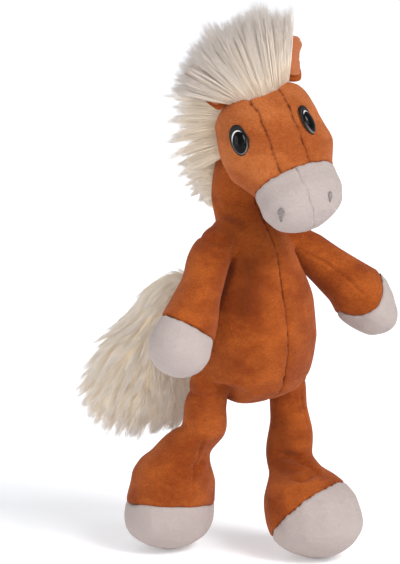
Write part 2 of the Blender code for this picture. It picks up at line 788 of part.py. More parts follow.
def build_eyes(carriers):
    """Domed safety eyes on felt, with a shank through the skin and a washer inside."""
    pieces = []
    tall = EYE_TALL / EYE_RADIUS
    for side, word in ((1, "left"), (-1, "right")):
        point, normal = on_head(side * EYE_SIDE, EYE_HEIGHT)
        frame = facing(point, normal)
        sink_share = 0.25
        sink = EYE_RADIUS * sink_share
        dome = ball(Vector((0, 0, 0)), EYE_RADIUS, SMALL_SIDES, (1.0, tall, EYE_BULGE / EYE_RADIUS))
        eye = add_object(f"{word}_eye", moved(dome, frame), "eye")
        base = frame @ Matrix.Translation((0, 0, FELT_THICKNESS - sink + GAP))
        keep(eye, half_space(base, body_reach(), True))
        shank = disc(EYE_SHANK_RADIUS, -EYE_SHANK_LENGTH, FELT_THICKNESS, SMALL_SIDES)
        shape_with(eye, moved(shank, frame), "UNION")
        felt_radius = EYE_RADIUS + FELT_RIM
        felt_form = disc(felt_radius, -sink, FELT_THICKNESS - sink, SMALL_SIDES, (1.0, tall))
        felt = add_object(f"{word}_eye_felt", moved(felt_form, frame), "felt")
        hole = disc(EYE_SHANK_RADIUS + GAP, -EYE_SHANK_LENGTH - GAP, EYE_BULGE, SMALL_SIDES)
        cut(felt, moved(hole.copy(), frame))
        washer_low = -EYE_SHANK_LENGTH
        washer_form = disc(
            EYE_WASHER_RADIUS, washer_low, washer_low + EYE_WASHER_THICKNESS, SMALL_SIDES
        )
        washer = add_object(f"{word}_eye_washer", moved(washer_form, frame), "washer")
        cut(washer, moved(hole.copy(), frame))
        room = disc(
            EYE_WASHER_RADIUS + GAP,
            washer_low - GAP,
            washer_low + EYE_WASHER_THICKNESS + GAP,
            SMALL_SIDES,
        )
        seat = disc(felt_radius + GAP, -sink - GAP, EYE_BULGE, SMALL_SIDES, (1.0, tall))
        for thing in carriers:
            cut(thing, moved(hole.copy(), frame))
            cut(thing, moved(seat.copy(), frame))
            cut(thing, moved(room.copy(), frame))
        for tool in (hole, seat, room):
            tool.free()
        pieces += [eye, felt, washer]
    return pieces


def build_nostrils(carriers):
    """Two short rows of stitches, as flat pads let into the front of the muzzle."""
    pieces = []
    for side, word in ((1, "left"), (-1, "right")):
        height = -MUZZLE_DROP * math.cos(HEAD_LEAN)
        point, normal = on_head(side * NOSTRIL_SIDE, height)
        frame = facing(point, normal)
        pad = disc(NOSTRIL_RADIUS, -NOSTRIL_THICKNESS, NOSTRIL_THICKNESS / 2, SMALL_SIDES)
        nostril = add_object(f"{word}_nostril_stitch", moved(pad, frame), "stitch")
        for thing in carriers:
            room = disc(
                NOSTRIL_RADIUS + GAP, -NOSTRIL_THICKNESS - GAP, NOSTRIL_RADIUS, SMALL_SIDES
            )
            cut(thing, moved(room, frame))
        pieces.append(nostril)
    return pieces


def forelock_form(inset):
    """The outer shape of the forelock: a fan that opens above the ears."""
    lean = Matrix.Rotation(FORELOCK_LEAN, 4, "Y")
    frame = head_matrix() @ Matrix.Translation((FORELOCK_SIDE, -FORELOCK_FRONT, 0)) @ lean
    root_share = 0.5
    middle_share = 0.45
    top_share = 0.85
    cap_share = 0.25
    thin_share = 0.75
    crown = SKULL_CROWN - FORELOCK_ROOT_HALF_DEPTH * root_share

    def at(share):
        return Vector((0, 0, crown + FORELOCK_LENGTH * share))

    half_way = FORELOCK_ROOT_HALF_WIDTH * (1 - root_share) + FORELOCK_HALF_WIDTH * root_share
    stations = [
        (at(0), FORELOCK_ROOT_HALF_WIDTH, FORELOCK_ROOT_HALF_DEPTH),
        (at(middle_share), half_way, FORELOCK_HALF_DEPTH),
        (at(top_share), FORELOCK_HALF_WIDTH, FORELOCK_HALF_DEPTH * thin_share),
    ]
    low_cap = FORELOCK_ROOT_HALF_DEPTH * root_share
    form = swelling_form(stations, low_cap, FORELOCK_LENGTH * cap_share, FUR_SIDES, inset)
    return moved(form, frame)


def build_forelock():
    """The fan of upright fur on the crown, seated on the skin."""
    forelock = add_object("forelock", forelock_form(0.0), "fur")
    cut(forelock, head_form(-GAP))
    for side in (1, -1):
        cut(forelock, ear_room(side, body_reach()))
    return [forelock]


def build_head_mane():
    """The fur down the back of the head, from the crown to the neck."""
    frame = head_matrix()
    half_share = 0.5
    low_share = 0.7
    high_share = 0.75
    low_cap_share = 0.25
    middle = MANE_TOP * half_share + MANE_BOTTOM * half_share
    stations = [
        (
            Vector((MANE_SIDE, MANE_BACK, MANE_BOTTOM)),
            MANE_HALF_WIDTH * low_share,
            MANE_HALF_DEPTH * low_share,
        ),
        (Vector((MANE_SIDE, MANE_BACK, middle)), MANE_HALF_WIDTH, MANE_HALF_DEPTH),
        (
            Vector((MANE_SIDE, MANE_BACK * high_share, MANE_TOP)),
            MANE_HALF_WIDTH * high_share,
            MANE_HALF_DEPTH * high_share,
        ),
    ]
    low_cap = MANE_HALF_DEPTH * low_cap_share
    form = swelling_form(stations, low_cap, MANE_HALF_DEPTH * half_share, FUR_SIDES)
    mane = add_object("head_mane", moved(form, frame), "fur")
    cut(mane, forelock_form(-GAP))
    cut(mane, head_form(-GAP))
    gaps = 3
    cut(mane, neck_room(GAP * gaps))
    reach = body_reach()
    keep(mane, block((-reach, -reach, HEAD_PIVOT.z + MANE_LIFT), (reach, reach, reach)))
    for side in (1, -1):
        cut(mane, ear_room(side, EAR_BACK_ROOM))
    return [mane]


def build_neck_mane():
    """The end of the mane, on the back of the neck."""
    low_share = 0.7
    cap_share = 0.25
    stations = [
        (
            Vector((0, NECK_MANE_BACK, NECK_MANE_BOTTOM_Z)),
            NECK_MANE_HALF_WIDTH * low_share,
            NECK_MANE_HALF_DEPTH,
        ),
        (
            Vector((0, NECK_MANE_BACK, NECK_MANE_TOP_Z)),
            NECK_MANE_HALF_WIDTH,
            NECK_MANE_HALF_DEPTH,
        ),
    ]
    cap = NECK_MANE_HALF_DEPTH * cap_share
    form = swelling_form(stations, cap + cap, cap, FUR_SIDES)
    mane = add_object("neck_mane", form, "fur")
    cut(mane, trunk_form(-GAP))


def ear_matrix(side):
    """From the ear's own frame, root at the origin and leaf up, to the toy's."""
    matrix = head_matrix()
    down = matrix.to_3x3() @ Vector((0, 0, -1))
    start = matrix @ Vector((side * EAR_SIDE, 0, SKULL_CROWN * 2))
    seat, _ = surface_point(head_form(0.0), start, down)
    outward = (seat - SKULL_CENTRE).normalized()
    turn = Matrix.Rotation(side * EAR_SPLAY, 4, "Y") @ Matrix.Rotation(-EAR_BACK, 4, "X")
    root = seat + outward * (EAR_HALF_THICKNESS + GAP * 2)
    return Matrix.Translation(root) @ matrix.to_3x3().to_4x4() @ turn


def ear_room(side, back):
    """The room that an ear folds through, out to the side of its inner edge."""
    reach = body_reach()
    inner = EAR_HALF_WIDTH + GAP
    low = -EAR_HALF_THICKNESS * 2
    if side > 0:
        form = block((-inner, -reach, low), (reach, back, reach))
    else:
        form = block((-reach, -reach, low), (inner, back, reach))
    return moved(form, ear_matrix(side))


def leaf_form(half_thickness, place_y, inset):
    """A rounded leaf: narrow root, wide middle and blunt tip."""
    lift_share = 4
    stations = [
        (Vector((0, place_y, inset * lift_share)), EAR_ROOT_HALF_WIDTH - inset, half_thickness)
    ]
    for length_share, width_share in LEAF_SHARES:
        centre = Vector((0, place_y, EAR_LENGTH * length_share))
        stations.append((centre, EAR_HALF_WIDTH * width_share - inset, half_thickness))
    tip = EAR_LENGTH * (1 - LEAF_SHARES[-1][0])
    return swelling_form(stations, EAR_HALF_THICKNESS, tip, SMALL_SIDES)


def build_ear(side, word):
    """An outer leaf with a paler lining on its front."""
    matrix = ear_matrix(side)
    pivot = matrix.to_translation()
    leaf = add_object(
        f"{word}_ear", moved(leaf_form(EAR_HALF_THICKNESS, 0.0, 0.0), matrix), "brown"
    )
    front = -EAR_HALF_THICKNESS - GAP - EAR_LINING_HALF_THICKNESS
    lining_form = leaf_form(EAR_LINING_HALF_THICKNESS, front, EAR_HALF_THICKNESS / 2)
    lining = add_object(f"{word}_ear_lining", moved(lining_form, matrix), "ear_pale")
    for thing in (leaf, lining):
        set_origin(thing, pivot)


def tail_line():
    """Points and radii along the tail's curved middle line, and its direction at each."""
    path = [TAIL_PIVOT, TAIL_ARCH, TAIL_CREST, TAIL_FALL, TAIL_END]
    radii = [
        TAIL_ROOT_RADIUS,
        TAIL_ARCH_RADIUS,
        TAIL_CREST_RADIUS,
        TAIL_PLUME_RADIUS,
        TAIL_END_RADIUS,
    ]
    steps = 2
    last = len(path) - 1
    points = []
    sizes = []
    for index in range(last):
        picks = [max(index - 1, 0), index, index + 1, min(index + 2, last)]
        for step in range(steps):
            share = step / steps
            points.append(between(*(path[pick] for pick in picks), share))
            sizes.append(between(*(radii[pick] for pick in picks), share))
    points.append(path[-1])
    sizes.append(radii[-1])
    ways = []
    count = len(points)
    for index in range(count):
        ahead = points[min(index + 1, count - 1)] - points[max(index - 1, 0)]
        ways.append(ahead.normalized())
    return list(zip(points, sizes, ways))


def ring_across(centre, radius, way):
    """A ring round a line that runs along a direction."""
    across = way.cross(Vector((1, 0, 0))).normalized()
    side = across.cross(way).normalized()
    points = []
    for index in range(FUR_SIDES):
        angle = 2 * math.pi * index / FUR_SIDES
        points.append(
            centre + side * (radius * math.cos(angle)) + across * (radius * math.sin(angle))
        )
    return points


def build_tail():
    """A plume of fur that leaves the back, then falls to the horse's right."""
    line = tail_line()
    root, root_size, root_way = line[0]
    end, end_size, end_way = line[-1]
    loops = []
    for step in range(1, CAP_STEPS):
        angle = math.pi / 2 * step / CAP_STEPS
        centre = root - root_way * (root_size * math.cos(angle))
        loops.append(ring_across(centre, root_size * math.sin(angle), root_way))
    for point, size, way in line:
        loops.append(ring_across(point, size, way))
    for step in range(1, CAP_STEPS):
        angle = math.pi / 2 * step / CAP_STEPS
        centre = end + end_way * (end_size * math.sin(angle))
        loops.append(ring_across(centre, end_size * math.cos(angle), end_way))
    form = rings_to_form(loops, root - root_way * root_size, end + end_way * end_size)
    tail = add_object("tail", form, "fur")
    set_origin(tail, TAIL_PIVOT)


def stand_at_origin():
    """Moves the toy so that its box stands on the floor round the origin."""
    bpy.context.view_layer.update()
    things = list(bpy.context.scene.objects)
    points = [thing.matrix_world @ vert.co for thing in things for vert in thing.data.vertices]
    low = Vector(min(point[axis] for point in points) for axis in range(3))
    high = Vector(max(point[axis] for point in points) for axis in range(3))
    shift = Vector((-(low.x + high.x) / 2, -(low.y + high.y) / 2, -low.z))
    for thing in things:
        thing.location += shift
    return shift


def report_joints(shift):
    """Prints where each joint lies, in metres."""
    print("joint neck", HEAD_PIVOT + shift)
    print("joint tail", TAIL_PIVOT + shift)
    for side, word in ((1, "left"), (-1, "right")):
        print("joint shoulder", word, arm_matrix(side).to_translation() + shift)
        print("joint hip", word, hip_pivot(side) + shift)
        ear = ear_matrix(side)
        print("joint ear", word, ear.to_translation() + shift, ear.to_3x3() @ Vector((1, 0, 0)))


def main():
    clear_scene()
    build_trunk()
    build_head()
    build_neck_mane()
    for side, word in ((1, "left"), (-1, "right")):
        build_arm(side, word)
        build_leg(side, word)
        build_ear(side, word)
    build_tail()
    report_joints(stand_at_origin())


main()
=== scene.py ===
"""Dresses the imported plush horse: sewn plush skins, long fur, safety eyes and soft ears.

Every skin takes its form from the solids of the frame: the solids of one body are joined, given an
even fine mesh and smoothed, then cut into its sewn pieces along the seams of the solids.
The fur is strands, each a closed sliver that tapers to a point.
"""

import json
import math

import bmesh
import bpy
import numpy as np
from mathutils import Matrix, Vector
from mathutils.bvhtree import BVHTree
from mathutils.kdtree import KDTree


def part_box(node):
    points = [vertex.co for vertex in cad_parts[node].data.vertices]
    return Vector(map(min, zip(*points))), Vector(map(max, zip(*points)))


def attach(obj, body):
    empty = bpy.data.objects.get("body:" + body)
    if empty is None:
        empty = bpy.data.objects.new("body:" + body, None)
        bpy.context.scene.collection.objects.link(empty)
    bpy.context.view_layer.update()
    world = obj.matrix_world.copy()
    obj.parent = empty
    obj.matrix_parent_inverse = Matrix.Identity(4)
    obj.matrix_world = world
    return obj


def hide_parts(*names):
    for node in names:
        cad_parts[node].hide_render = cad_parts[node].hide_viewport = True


bl_info = {
    "name": "Plush horse",
    "version": (1, 0, 0),
    "blender": (4, 5, 0),
    "location": "3D View > Sidebar > Plush horse",
    "description": "Dresses the packed plush horse in plush, fur and stitching",
    "category": "Object",
}

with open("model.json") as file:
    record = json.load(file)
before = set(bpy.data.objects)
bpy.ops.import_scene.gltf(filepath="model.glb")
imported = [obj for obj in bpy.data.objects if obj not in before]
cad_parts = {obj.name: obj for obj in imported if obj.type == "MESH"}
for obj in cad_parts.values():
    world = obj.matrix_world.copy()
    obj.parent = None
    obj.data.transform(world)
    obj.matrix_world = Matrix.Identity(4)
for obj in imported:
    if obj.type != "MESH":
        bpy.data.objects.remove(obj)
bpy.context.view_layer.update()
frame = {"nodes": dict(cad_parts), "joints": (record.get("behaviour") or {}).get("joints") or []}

SIDES = (("left", 1), ("right", -1))

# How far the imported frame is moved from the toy's own origin, found from the neck joint
NECK = np.array(next(joint["pos_m"] for joint in frame["joints"] if joint["name"] == "head_turn"))
SHIFT = NECK - np.array([0.0, 0.010, 0.241])

CAMERA_AZIMUTH = math.radians(-36)
CAMERA_RISE = math.radians(12)
CAMERA_DISTANCE = 3.2
METRES_PER_PIXEL = 0.00062
PICTURE_WIDE = 400
PICTURE_TALL = 564
SENSOR = 36.0
RIGHT = np.array([math.cos(CAMERA_AZIMUTH), math.sin(CAMERA_AZIMUTH), 0.0])
FRONT = np.array([math.sin(CAMERA_AZIMUTH), -math.cos(CAMERA_AZIMUTH), 0.0])
TOWARD = FRONT * math.cos(CAMERA_RISE) + np.array([0.0, 0.0, math.sin(CAMERA_RISE)])
UP = np.cross(TOWARD, RIGHT)
# The middle of the picture, in pixels to the right of and above the toy's own origin
AIM_PIXELS = (-50, 270)
AIM = SHIFT + RIGHT * (AIM_PIXELS[0] * METRES_PER_PIXEL) + UP * (AIM_PIXELS[1] * METRES_PER_PIXEL)
CAMERA_PLACE = AIM + TOWARD * CAMERA_DISTANCE


def in_picture(rows):
    """Where points stand in the picture, in its pixels, and how many metres a pixel is there."""
    seen = rows - CAMERA_PLACE
    metres = seen @ -TOWARD * (METRES_PER_PIXEL / CAMERA_DISTANCE)
    wide = PICTURE_WIDE / 2 + seen @ RIGHT / metres
    tall = PICTURE_TALL / 2 - seen @ UP / metres
    return np.stack((wide, tall), axis=1), metres


def sight(x, y):
    """The way from the camera through a pixel of the picture."""
    target = AIM + (RIGHT * (x - PICTURE_WIDE / 2) + UP * (PICTURE_TALL / 2 - y)) * METRES_PER_PIXEL
    way = target - CAMERA_PLACE
    return way / np.linalg.norm(way)


def nudged(rows, nudges):
    """Moves points sideways as seen from the camera.

    Each nudge is a middle and a reach in pixels, and how far the middle moves right and down.
    """
    for x, y, reach, right, down in nudges:
        spots, metres = in_picture(rows)
        away = np.hypot(spots[:, 0] - x, spots[:, 1] - y) / reach
        share = np.clip(1.0 - away**2, 0.0, 1.0) ** 2 * metres
        rows = rows + np.outer(share * right, RIGHT) - np.outer(share * down, UP)
    return rows


def linear(red, green, blue):
    """A colour given in 0 to 255 steps, as the shader wants it."""
    values = []
    for step in (red, green, blue):
        share = step / 255
        values.append(share / 12.92 if share <= 0.04045 else ((share + 0.055) / 1.055) ** 2.4)
    return tuple(values)


# Object mesh helpers


def activate(thing):
    bpy.ops.object.select_all(action="DESELECT")
    thing.select_set(True)
    bpy.context.view_layer.objects.active = thing


def join_into(thing, others):
    activate(thing)
    for other in others:
        other.select_set(True)
    if others:
        bpy.ops.object.join()


def apply_change(thing, kind, **settings):
    """Adds a modifier with its settings, and applies it."""
    activate(thing)
    change = thing.modifiers.new(kind.title(), kind)
    for name, value in settings.items():
        setattr(change, name, value)
    bpy.ops.object.modifier_apply(modifier=change.name)


def places(thing):
    """The corners of an object's mesh as rows of numbers."""
    flat = np.empty(len(thing.data.vertices) * 3)
    thing.data.vertices.foreach_get("co", flat)
    return flat.reshape(-1, 3)


def set_places(thing, rows):
    thing.data.vertices.foreach_set("co", rows.ravel())
    thing.data.update()


def directions(thing):
    """The outward direction at each corner."""
    flat = np.empty(len(thing.data.vertices) * 3, dtype=np.float32)
    thing.data.vertex_normals.foreach_get("vector", flat)
    return flat.reshape(-1, 3).astype(float)


def new_object(name, mesh):
    thing = bpy.data.objects.new(name, mesh)
    bpy.context.scene.collection.objects.link(thing)
    return thing


def object_of(name, form):
    """A new object from a bmesh form, which is freed."""
    mesh = bpy.data.meshes.new(name)
    form.to_mesh(mesh)
    form.free()
    return new_object(name, mesh)


def keep_largest(thing):
    """Drops the small loose shells that lie inside a remeshed form."""
    form = bmesh.new()
    form.from_mesh(thing.data)
    form.verts.ensure_lookup_table()
    seen = [False] * len(form.verts)
    groups = []
    for start in form.verts:
        if seen[start.index]:
            continue
        seen[start.index] = True
        group = [start]
        for vert in group:
            for edge in vert.link_edges:
                other = edge.other_vert(vert)
                if not seen[other.index]:
                    seen[other.index] = True
                    group.append(other)
        groups.append(group)
    groups.sort(key=len, reverse=True)
    for group in groups[1:]:
        bmesh.ops.delete(form, geom=group, context="VERTS")
    form.to_mesh(thing.data)
    form.free()


FORMS = {}


def ball(centre, radius):
    """A new round object, for a place where the stuffing swells out."""
    bpy.ops.mesh.primitive_uv_sphere_add(segments=24, ring_count=16, radius=radius, location=Vector(centre))
    bpy.ops.object.transform_apply(location=True, rotation=True, scale=True)
    return bpy.context.object


def tree_of(thing):
    mesh = thing.data
    corners = [vert.co for vert in mesh.vertices]
    return BVHTree.FromPolygons(corners, [tuple(face.vertices) for face in mesh.polygons])


def solid_tree(node):
    form = bmesh.new()
    form.from_mesh(frame["nodes"][node].data)
    tree = BVHTree.FromBMesh(form)
    form.free()
    return tree


def body_form(name, nodes, voxel, smoothing, proud, nudges=(), balls=()):
    """The outer form of a stuffed body, without the flat facets of its solids.

    proud is how far the form stands out from them, as the cloth's pile does.
    """
    thing, *others = [new_object(name, frame["nodes"][node].data.copy()) for node in nodes]
    join_into(thing, others)
    join_into(thing, [ball(centre, radius) for centre, radius in balls])
    thing.data.materials.clear()
    apply_change(thing, "REMESH", mode="VOXEL", voxel_size=voxel, adaptivity=0.0)
    keep_largest(thing)
    apply_change(thing, "SMOOTH", factor=0.5, iterations=smoothing)
    set_places(thing, nudged(places(thing) + directions(thing) * proud, nudges))
    FORMS[name] = tree_of(thing)
    return thing


def stuffed(form, body, inside=0.0018, voxel=0.0022):
    """The stuffing of a body: its outer form again, a little smaller, with a coarser mesh."""
    thing = new_object(f"{body}_stuffing", form.data.copy())
    thing.data.attributes.remove(thing.data.attributes["seam"])
    set_places(thing, places(thing) - directions(thing) * inside)
    apply_change(thing, "REMESH", mode="VOXEL", voxel_size=voxel, adaptivity=0.0)
    keep_largest(thing)
    finish_piece(thing, "stuffing", body, f"{body}_filling")


# How high the cloth swells beside a fold, as a share of the fold's depth
RIDGE = 0.22


def pressed(thing, marks):
    """Presses folds and stitched lines into a form, each along pixels of the picture, with painted shade
    along them.

    A mark is its pixels, its half width and depth in metres, and how dark the painted shade along it is.
    The painted shade goes into the seam attribute; a mark with no depth is only a patch of painted shade.
    """
    tree = tree_of(thing)
    rows, ways = places(thing), directions(thing)
    painted_shade = np.zeros(len(rows))
    for pixels, width, depth, line in marks:
        found = []
        for (x, y), (to_x, to_y) in zip(pixels, pixels[1:]):
            steps = max(2, int(math.hypot(to_x - x, to_y - y) / 2))
            for step in range(steps + 1):
                share = step / steps
                way = sight(x + (to_x - x) * share, y + (to_y - y) * share)
                hit = tree.ray_cast(Vector(CAMERA_PLACE), Vector(way))[0]
                if hit is not None:
                    found.append(np.array(hit))
        if not found:
            continue
        away = np.full(len(rows), np.inf)
        ends = np.ones(len(rows))
        for index, point in enumerate(found):
            gap = np.linalg.norm(rows - point, axis=1)
            near = gap < away
            away[near] = gap[near]
            ends[near] = min(1.0, 4.0 * min(index + 1, len(found) - index) / len(found))
        share = np.exp(-((away / width) ** 2)) * ends
        beside = np.exp(-((away / width - 2.0) ** 2)) * ends
        rows = rows - ways * ((share - RIDGE * beside) * depth)[:, None]
        # Painted shade along each mark, darkest on its line
        painted_shade = np.maximum(painted_shade, share * line)
    set_places(thing, rows)
    thing.data.attributes.new("seam", "FLOAT", "POINT").data.foreach_set("value", painted_shade)


def ripples(points, size, seed, waves=14):
    """Smooth random values over points, about -1 to 1, that repeat on every run."""
    chance = np.random.default_rng(seed)
    total = np.zeros(len(points))
    for _ in range(waves):
        way = chance.normal(size=3)
        way /= np.linalg.norm(way)
        turn = 2 * math.pi / (size * chance.uniform(0.7, 1.6))
        total += np.sin(points @ way * turn + chance.uniform(0, 2 * math.pi))
    return total / math.sqrt(waves)


# Seams

# The length and height of the waves that a sewn seam wavers in
SEAM_WAVE = 0.011
SEAM_WAVER = 0.00035

# How close two solids have to face each other to be sewn together
SEAM_REACH = 0.0007


def seam_planes(first, second, count=1):
    """The flat cuts of one solid that face another: each a point and the way to the other."""
    tree = tree_of(frame["nodes"][second])
    groups = {}
    for face in frame["nodes"][first].data.polygons:
        if tree.find_nearest(face.center, SEAM_REACH)[0] is None:
            continue
        key = tuple(round(value, 1) for value in face.normal)
        area, point, way = groups.get(key, (0.0, Vector(), Vector()))
        groups[key] = (area + face.area, point + face.center * face.area, way + face.normal * face.area)
    planes = []
    for area, point, way in sorted(groups.values(), key=lambda entry: entry[0], reverse=True):
        way = way.normalized()
        if all(way.angle(known[1]) > math.radians(20) for known in planes):
            planes.append((point / area, way))
    return planes[:count]


def beyond(plane, point):
    """How far a point lies past a plane."""
    return (point - plane[0]).dot(plane[1])


def sewn_pieces(body, planes, piece_of, seed, roll=1.0, line=0.9, shallow=None):
    """Cuts a body into its sewn pieces, each a closed shell with its edges rolled into the seam.

    piece_of says which piece a point of the surface belongs to. The pieces are returned by name.
    The body is cut while its points are a little out of place, so that the seams waver like sewn ones.
    roll is the depth of the seams as a share of the usual one, and line is how dark the painted shade along
    them is.
    shallow says how much of the roll a point keeps.
    """
    look = settings()
    depth, width = look.seam_depth * roll, look.seam_width
    form = bmesh.new()
    form.from_mesh(body.data)
    home = form.verts.layers.float_vector.new("home")
    points = np.array([vert.co[:] for vert in form.verts])
    waver = np.stack([ripples(points, SEAM_WAVE, seed + step) for step in (40, 50, 60)], axis=1) * SEAM_WAVER
    for vert, shift in zip(form.verts, waver):
        vert[home] = vert.co
        vert.co += Vector(shift)
    for point, way in planes:
        everything = form.verts[:] + form.edges[:] + form.faces[:]
        bmesh.ops.bisect_plane(form, geom=everything, dist=1e-6, plane_co=point, plane_no=way)
    bmesh.ops.remove_doubles(form, verts=form.verts, dist=0.00008)
    names = [piece_of(face.calc_center_median()) for face in form.faces]
    for vert in form.verts:
        vert.co = vert[home]
    form.verts.layers.float_vector.remove(form.verts.layers.float_vector["home"])
    form.normal_update()
    form.faces.index_update()
    form.verts.index_update()
    seam = [vert.co for vert in form.verts if len({names[face.index] for face in vert.link_faces}) > 1]
    finder = KDTree(len(seam))
    for index, place in enumerate(seam):
        finder.insert(place, index)
    finder.balance()
    layer = form.verts.layers.float["seam"]
    points = np.array([vert.co[:] for vert in form.verts])
    pucker = ripples(points, width * 1.6, seed)
    for vert in form.verts:
        distance = finder.find(vert.co)[2]
        share = max(0.0, 1.0 - distance / width) * (shallow(vert.co) if shallow else 1.0)
        # Painted shade along each seam, kept in the seam attribute, darkest in its groove
        vert[layer] = max(vert[layer], share * line * (1.0 + 0.25 * pucker[vert.index]))
        vert.co -= vert.normal * (share * share * depth * (1.0 + 0.35 * pucker[vert.index]))
    pieces = {}
    for name in sorted(set(names)):
        part = form.copy()
        part.faces.ensure_lookup_table()
        away = [face for face in part.faces if names[face.index] != name]
        bmesh.ops.delete(part, geom=away, context="FACES")
        pieces[name] = object_of(name, part)
        apply_change(
            pieces[name], "SOLIDIFY", thickness=look.skin_thickness, offset=-1.0, use_even_offset=False
        )
    form.free()
    bpy.data.objects.remove(body)
    return pieces


def finish_piece(thing, finish, body, node):
    """Gives a piece its material, its body and the solid that it stands for."""
    thing.data.materials.clear()
    thing.data.materials.append(bpy.data.materials[finish])
    activate(thing)
    bpy.ops.object.shade_smooth()
    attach(thing, body)
    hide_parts(node)


# Materials


def give(tree, socket, value):
    """Links a socket to another node's output, or sets its value."""
    if isinstance(value, bpy.types.NodeSocket):
        tree.links.new(value, socket)
    elif socket.type == "RGBA" and len(value) == 3:
        socket.default_value = (*value, 1.0)
    else:
        socket.default_value = value


def feed(tree, node, **values):
    """Gives the inputs of a shader node that are named, with an underline for each space."""
    for name, value in values.items():
        give(tree, node.inputs[name.replace("_", " ")], value)
    return node


def node_at(tree, kind, **values):
    return feed(tree, tree.nodes.new(f"ShaderNode{kind}"), **values)


def mixed(tree, factor, first, second, mode="MIX"):
    """A mix of two colours: each of the three is a socket or a value."""
    node = node_at(tree, "Mix")
    node.data_type = "RGBA"
    node.blend_type = mode
    for place, value in ((0, factor), (6, first), (7, second)):
        give(tree, node.inputs[place], value)
    return node.outputs[2]


def reckon(tree, operation, *values, clamp=False):
    node = node_at(tree, "Math")
    node.operation = operation
    node.use_clamp = clamp
    for socket, value in zip(node.inputs, values):
        give(tree, socket, value)
    return node.outputs[0]


def ranged(tree, value, low, high, to_low=0.0, to_high=1.0):
    """A value moved from one range to another, and held within it."""
    node = node_at(tree, "MapRange", Value=value, From_Min=low, From_Max=high, To_Min=to_low, To_Max=to_high)
    return node.outputs["Result"]


def speckle(tree, where, scale, detail=3.0, roughness=0.6):
    noise = node_at(tree, "TexNoise", Vector=where, Scale=scale, Detail=detail, Roughness=roughness)
    return noise.outputs["Fac"]


def attribute(tree, name):
    node = node_at(tree, "Attribute")
    node.attribute_name = name
    return node.outputs["Fac"]


def own_place(tree):
    return node_at(tree, "TexCoord").outputs["Object"]


def bump(tree, shader, height, strength, distance):
    node = node_at(tree, "Bump", Strength=strength, Distance=distance, Height=height)
    feed(tree, shader, Normal=node.outputs["Normal"])


def new_material(name, roughness, specular, **values):
    """A new material's tree and shader, with the shader's values."""
    made = bpy.data.materials.new(name)
    made.use_nodes = True
    shader = made.node_tree.nodes["Principled BSDF"]
    feed(made.node_tree, shader, Roughness=roughness, Specular_IOR_Level=specular, **values)
    return made.node_tree, shader


def plush_group():
    """The nap of short plush: patches laid one way or the other, small tufts and fine grain, and painted
    shade toward the deep colour along seams, folds and shaded patches.
    """
    group = bpy.data.node_groups.new("plush nap", "ShaderNodeTree")
    for in_out, kind, names in (
        ("INPUT", "Color", ("Lit", "Shade", "Deep")),
        ("INPUT", "Float", ("Patch", "Tuft", "Seam")),
        ("OUTPUT", "Color", ("Color",)),
        ("OUTPUT", "Float", ("Height",)),
    ):
        for name in names:
            group.interface.new_socket(name=name, in_out=in_out, socket_type=f"NodeSocket{kind}")
    given = group.nodes.new("NodeGroupInput").outputs
    end = group.nodes.new("NodeGroupOutput")
    squash = node_at(group, "VectorMath")
    squash.operation = "MULTIPLY"
    give(group, squash.inputs[0], own_place(group))
    give(group, squash.inputs[1], (1.0, 1.0, 1.7))
    where = squash.outputs[0]
    patch = speckle(group, where, 34.0, 4.0, 0.55)
    brush = speckle(group, where, 240.0)
    tuft = speckle(group, where, 700.0, 4.0, 0.65)
    grain = speckle(group, where, 2100.0, 2.0)
    strokes = ranged(group, brush, 0.34, 0.66, -0.14, 0.14)
    laid = reckon(group, "ADD", ranged(group, patch, 0.38, 0.62), strokes)
    laid = reckon(group, "MULTIPLY", laid, given["Patch"], clamp=True)
    colour = mixed(group, laid, given["Lit"], given["Shade"])
    flecks = ranged(group, grain, 0.4, 0.62, 0.5, -0.2)
    spots = reckon(group, "ADD", ranged(group, tuft, 0.36, 0.62, 1.0, 0.0), flecks)
    spots = reckon(group, "MULTIPLY", spots, given["Tuft"], clamp=True)
    colour = mixed(group, spots, colour, given["Deep"])
    # Painted shade: the colour goes toward the deep one along seams and folds and in shaded patches
    painted_shade_share = reckon(group, "POWER", given["Seam"], 2.8)
    painted_shade_share = reckon(group, "MULTIPLY", painted_shade_share, ranged(group, tuft, 0.3, 0.6, 0.35, 0.95), clamp=True)
    high = reckon(group, "ADD", reckon(group, "MULTIPLY", tuft, 0.9), reckon(group, "MULTIPLY", grain, 0.55))
    colour = mixed(group, painted_shade_share, colour, given["Deep"])
    feed(group, end, Color=colour, Height=reckon(group, "ADD", high, brush))
    return group


def plush_material(name, lit, shade, deep, patch, tuft, sheen):
    """Short plush: the nap's colours with painted shade from the seam attribute, a soft sheen at grazing
    angles and a fine bump.
    """
    glint = tuple(min(1.0, 0.12 + value) for value in lit)
    tree, shader = new_material(name, 0.92, 0.15, Sheen_Weight=sheen, Sheen_Roughness=0.38, Sheen_Tint=glint)
    nap = node_at(tree, "Group")
    nap.node_tree = bpy.data.node_groups["plush nap"]
    # The seam attribute holds painted shade along seams and folds and in shaded patches
    seam = attribute(tree, "seam")
    feed(tree, nap, Lit=tuple(lit), Shade=tuple(shade), Deep=deep, Patch=patch, Tuft=tuft, Seam=seam)
    feed(tree, shader, Base_Color=nap.outputs["Color"])
    bump(tree, shader, nap.outputs["Height"], 0.75, 0.0011)


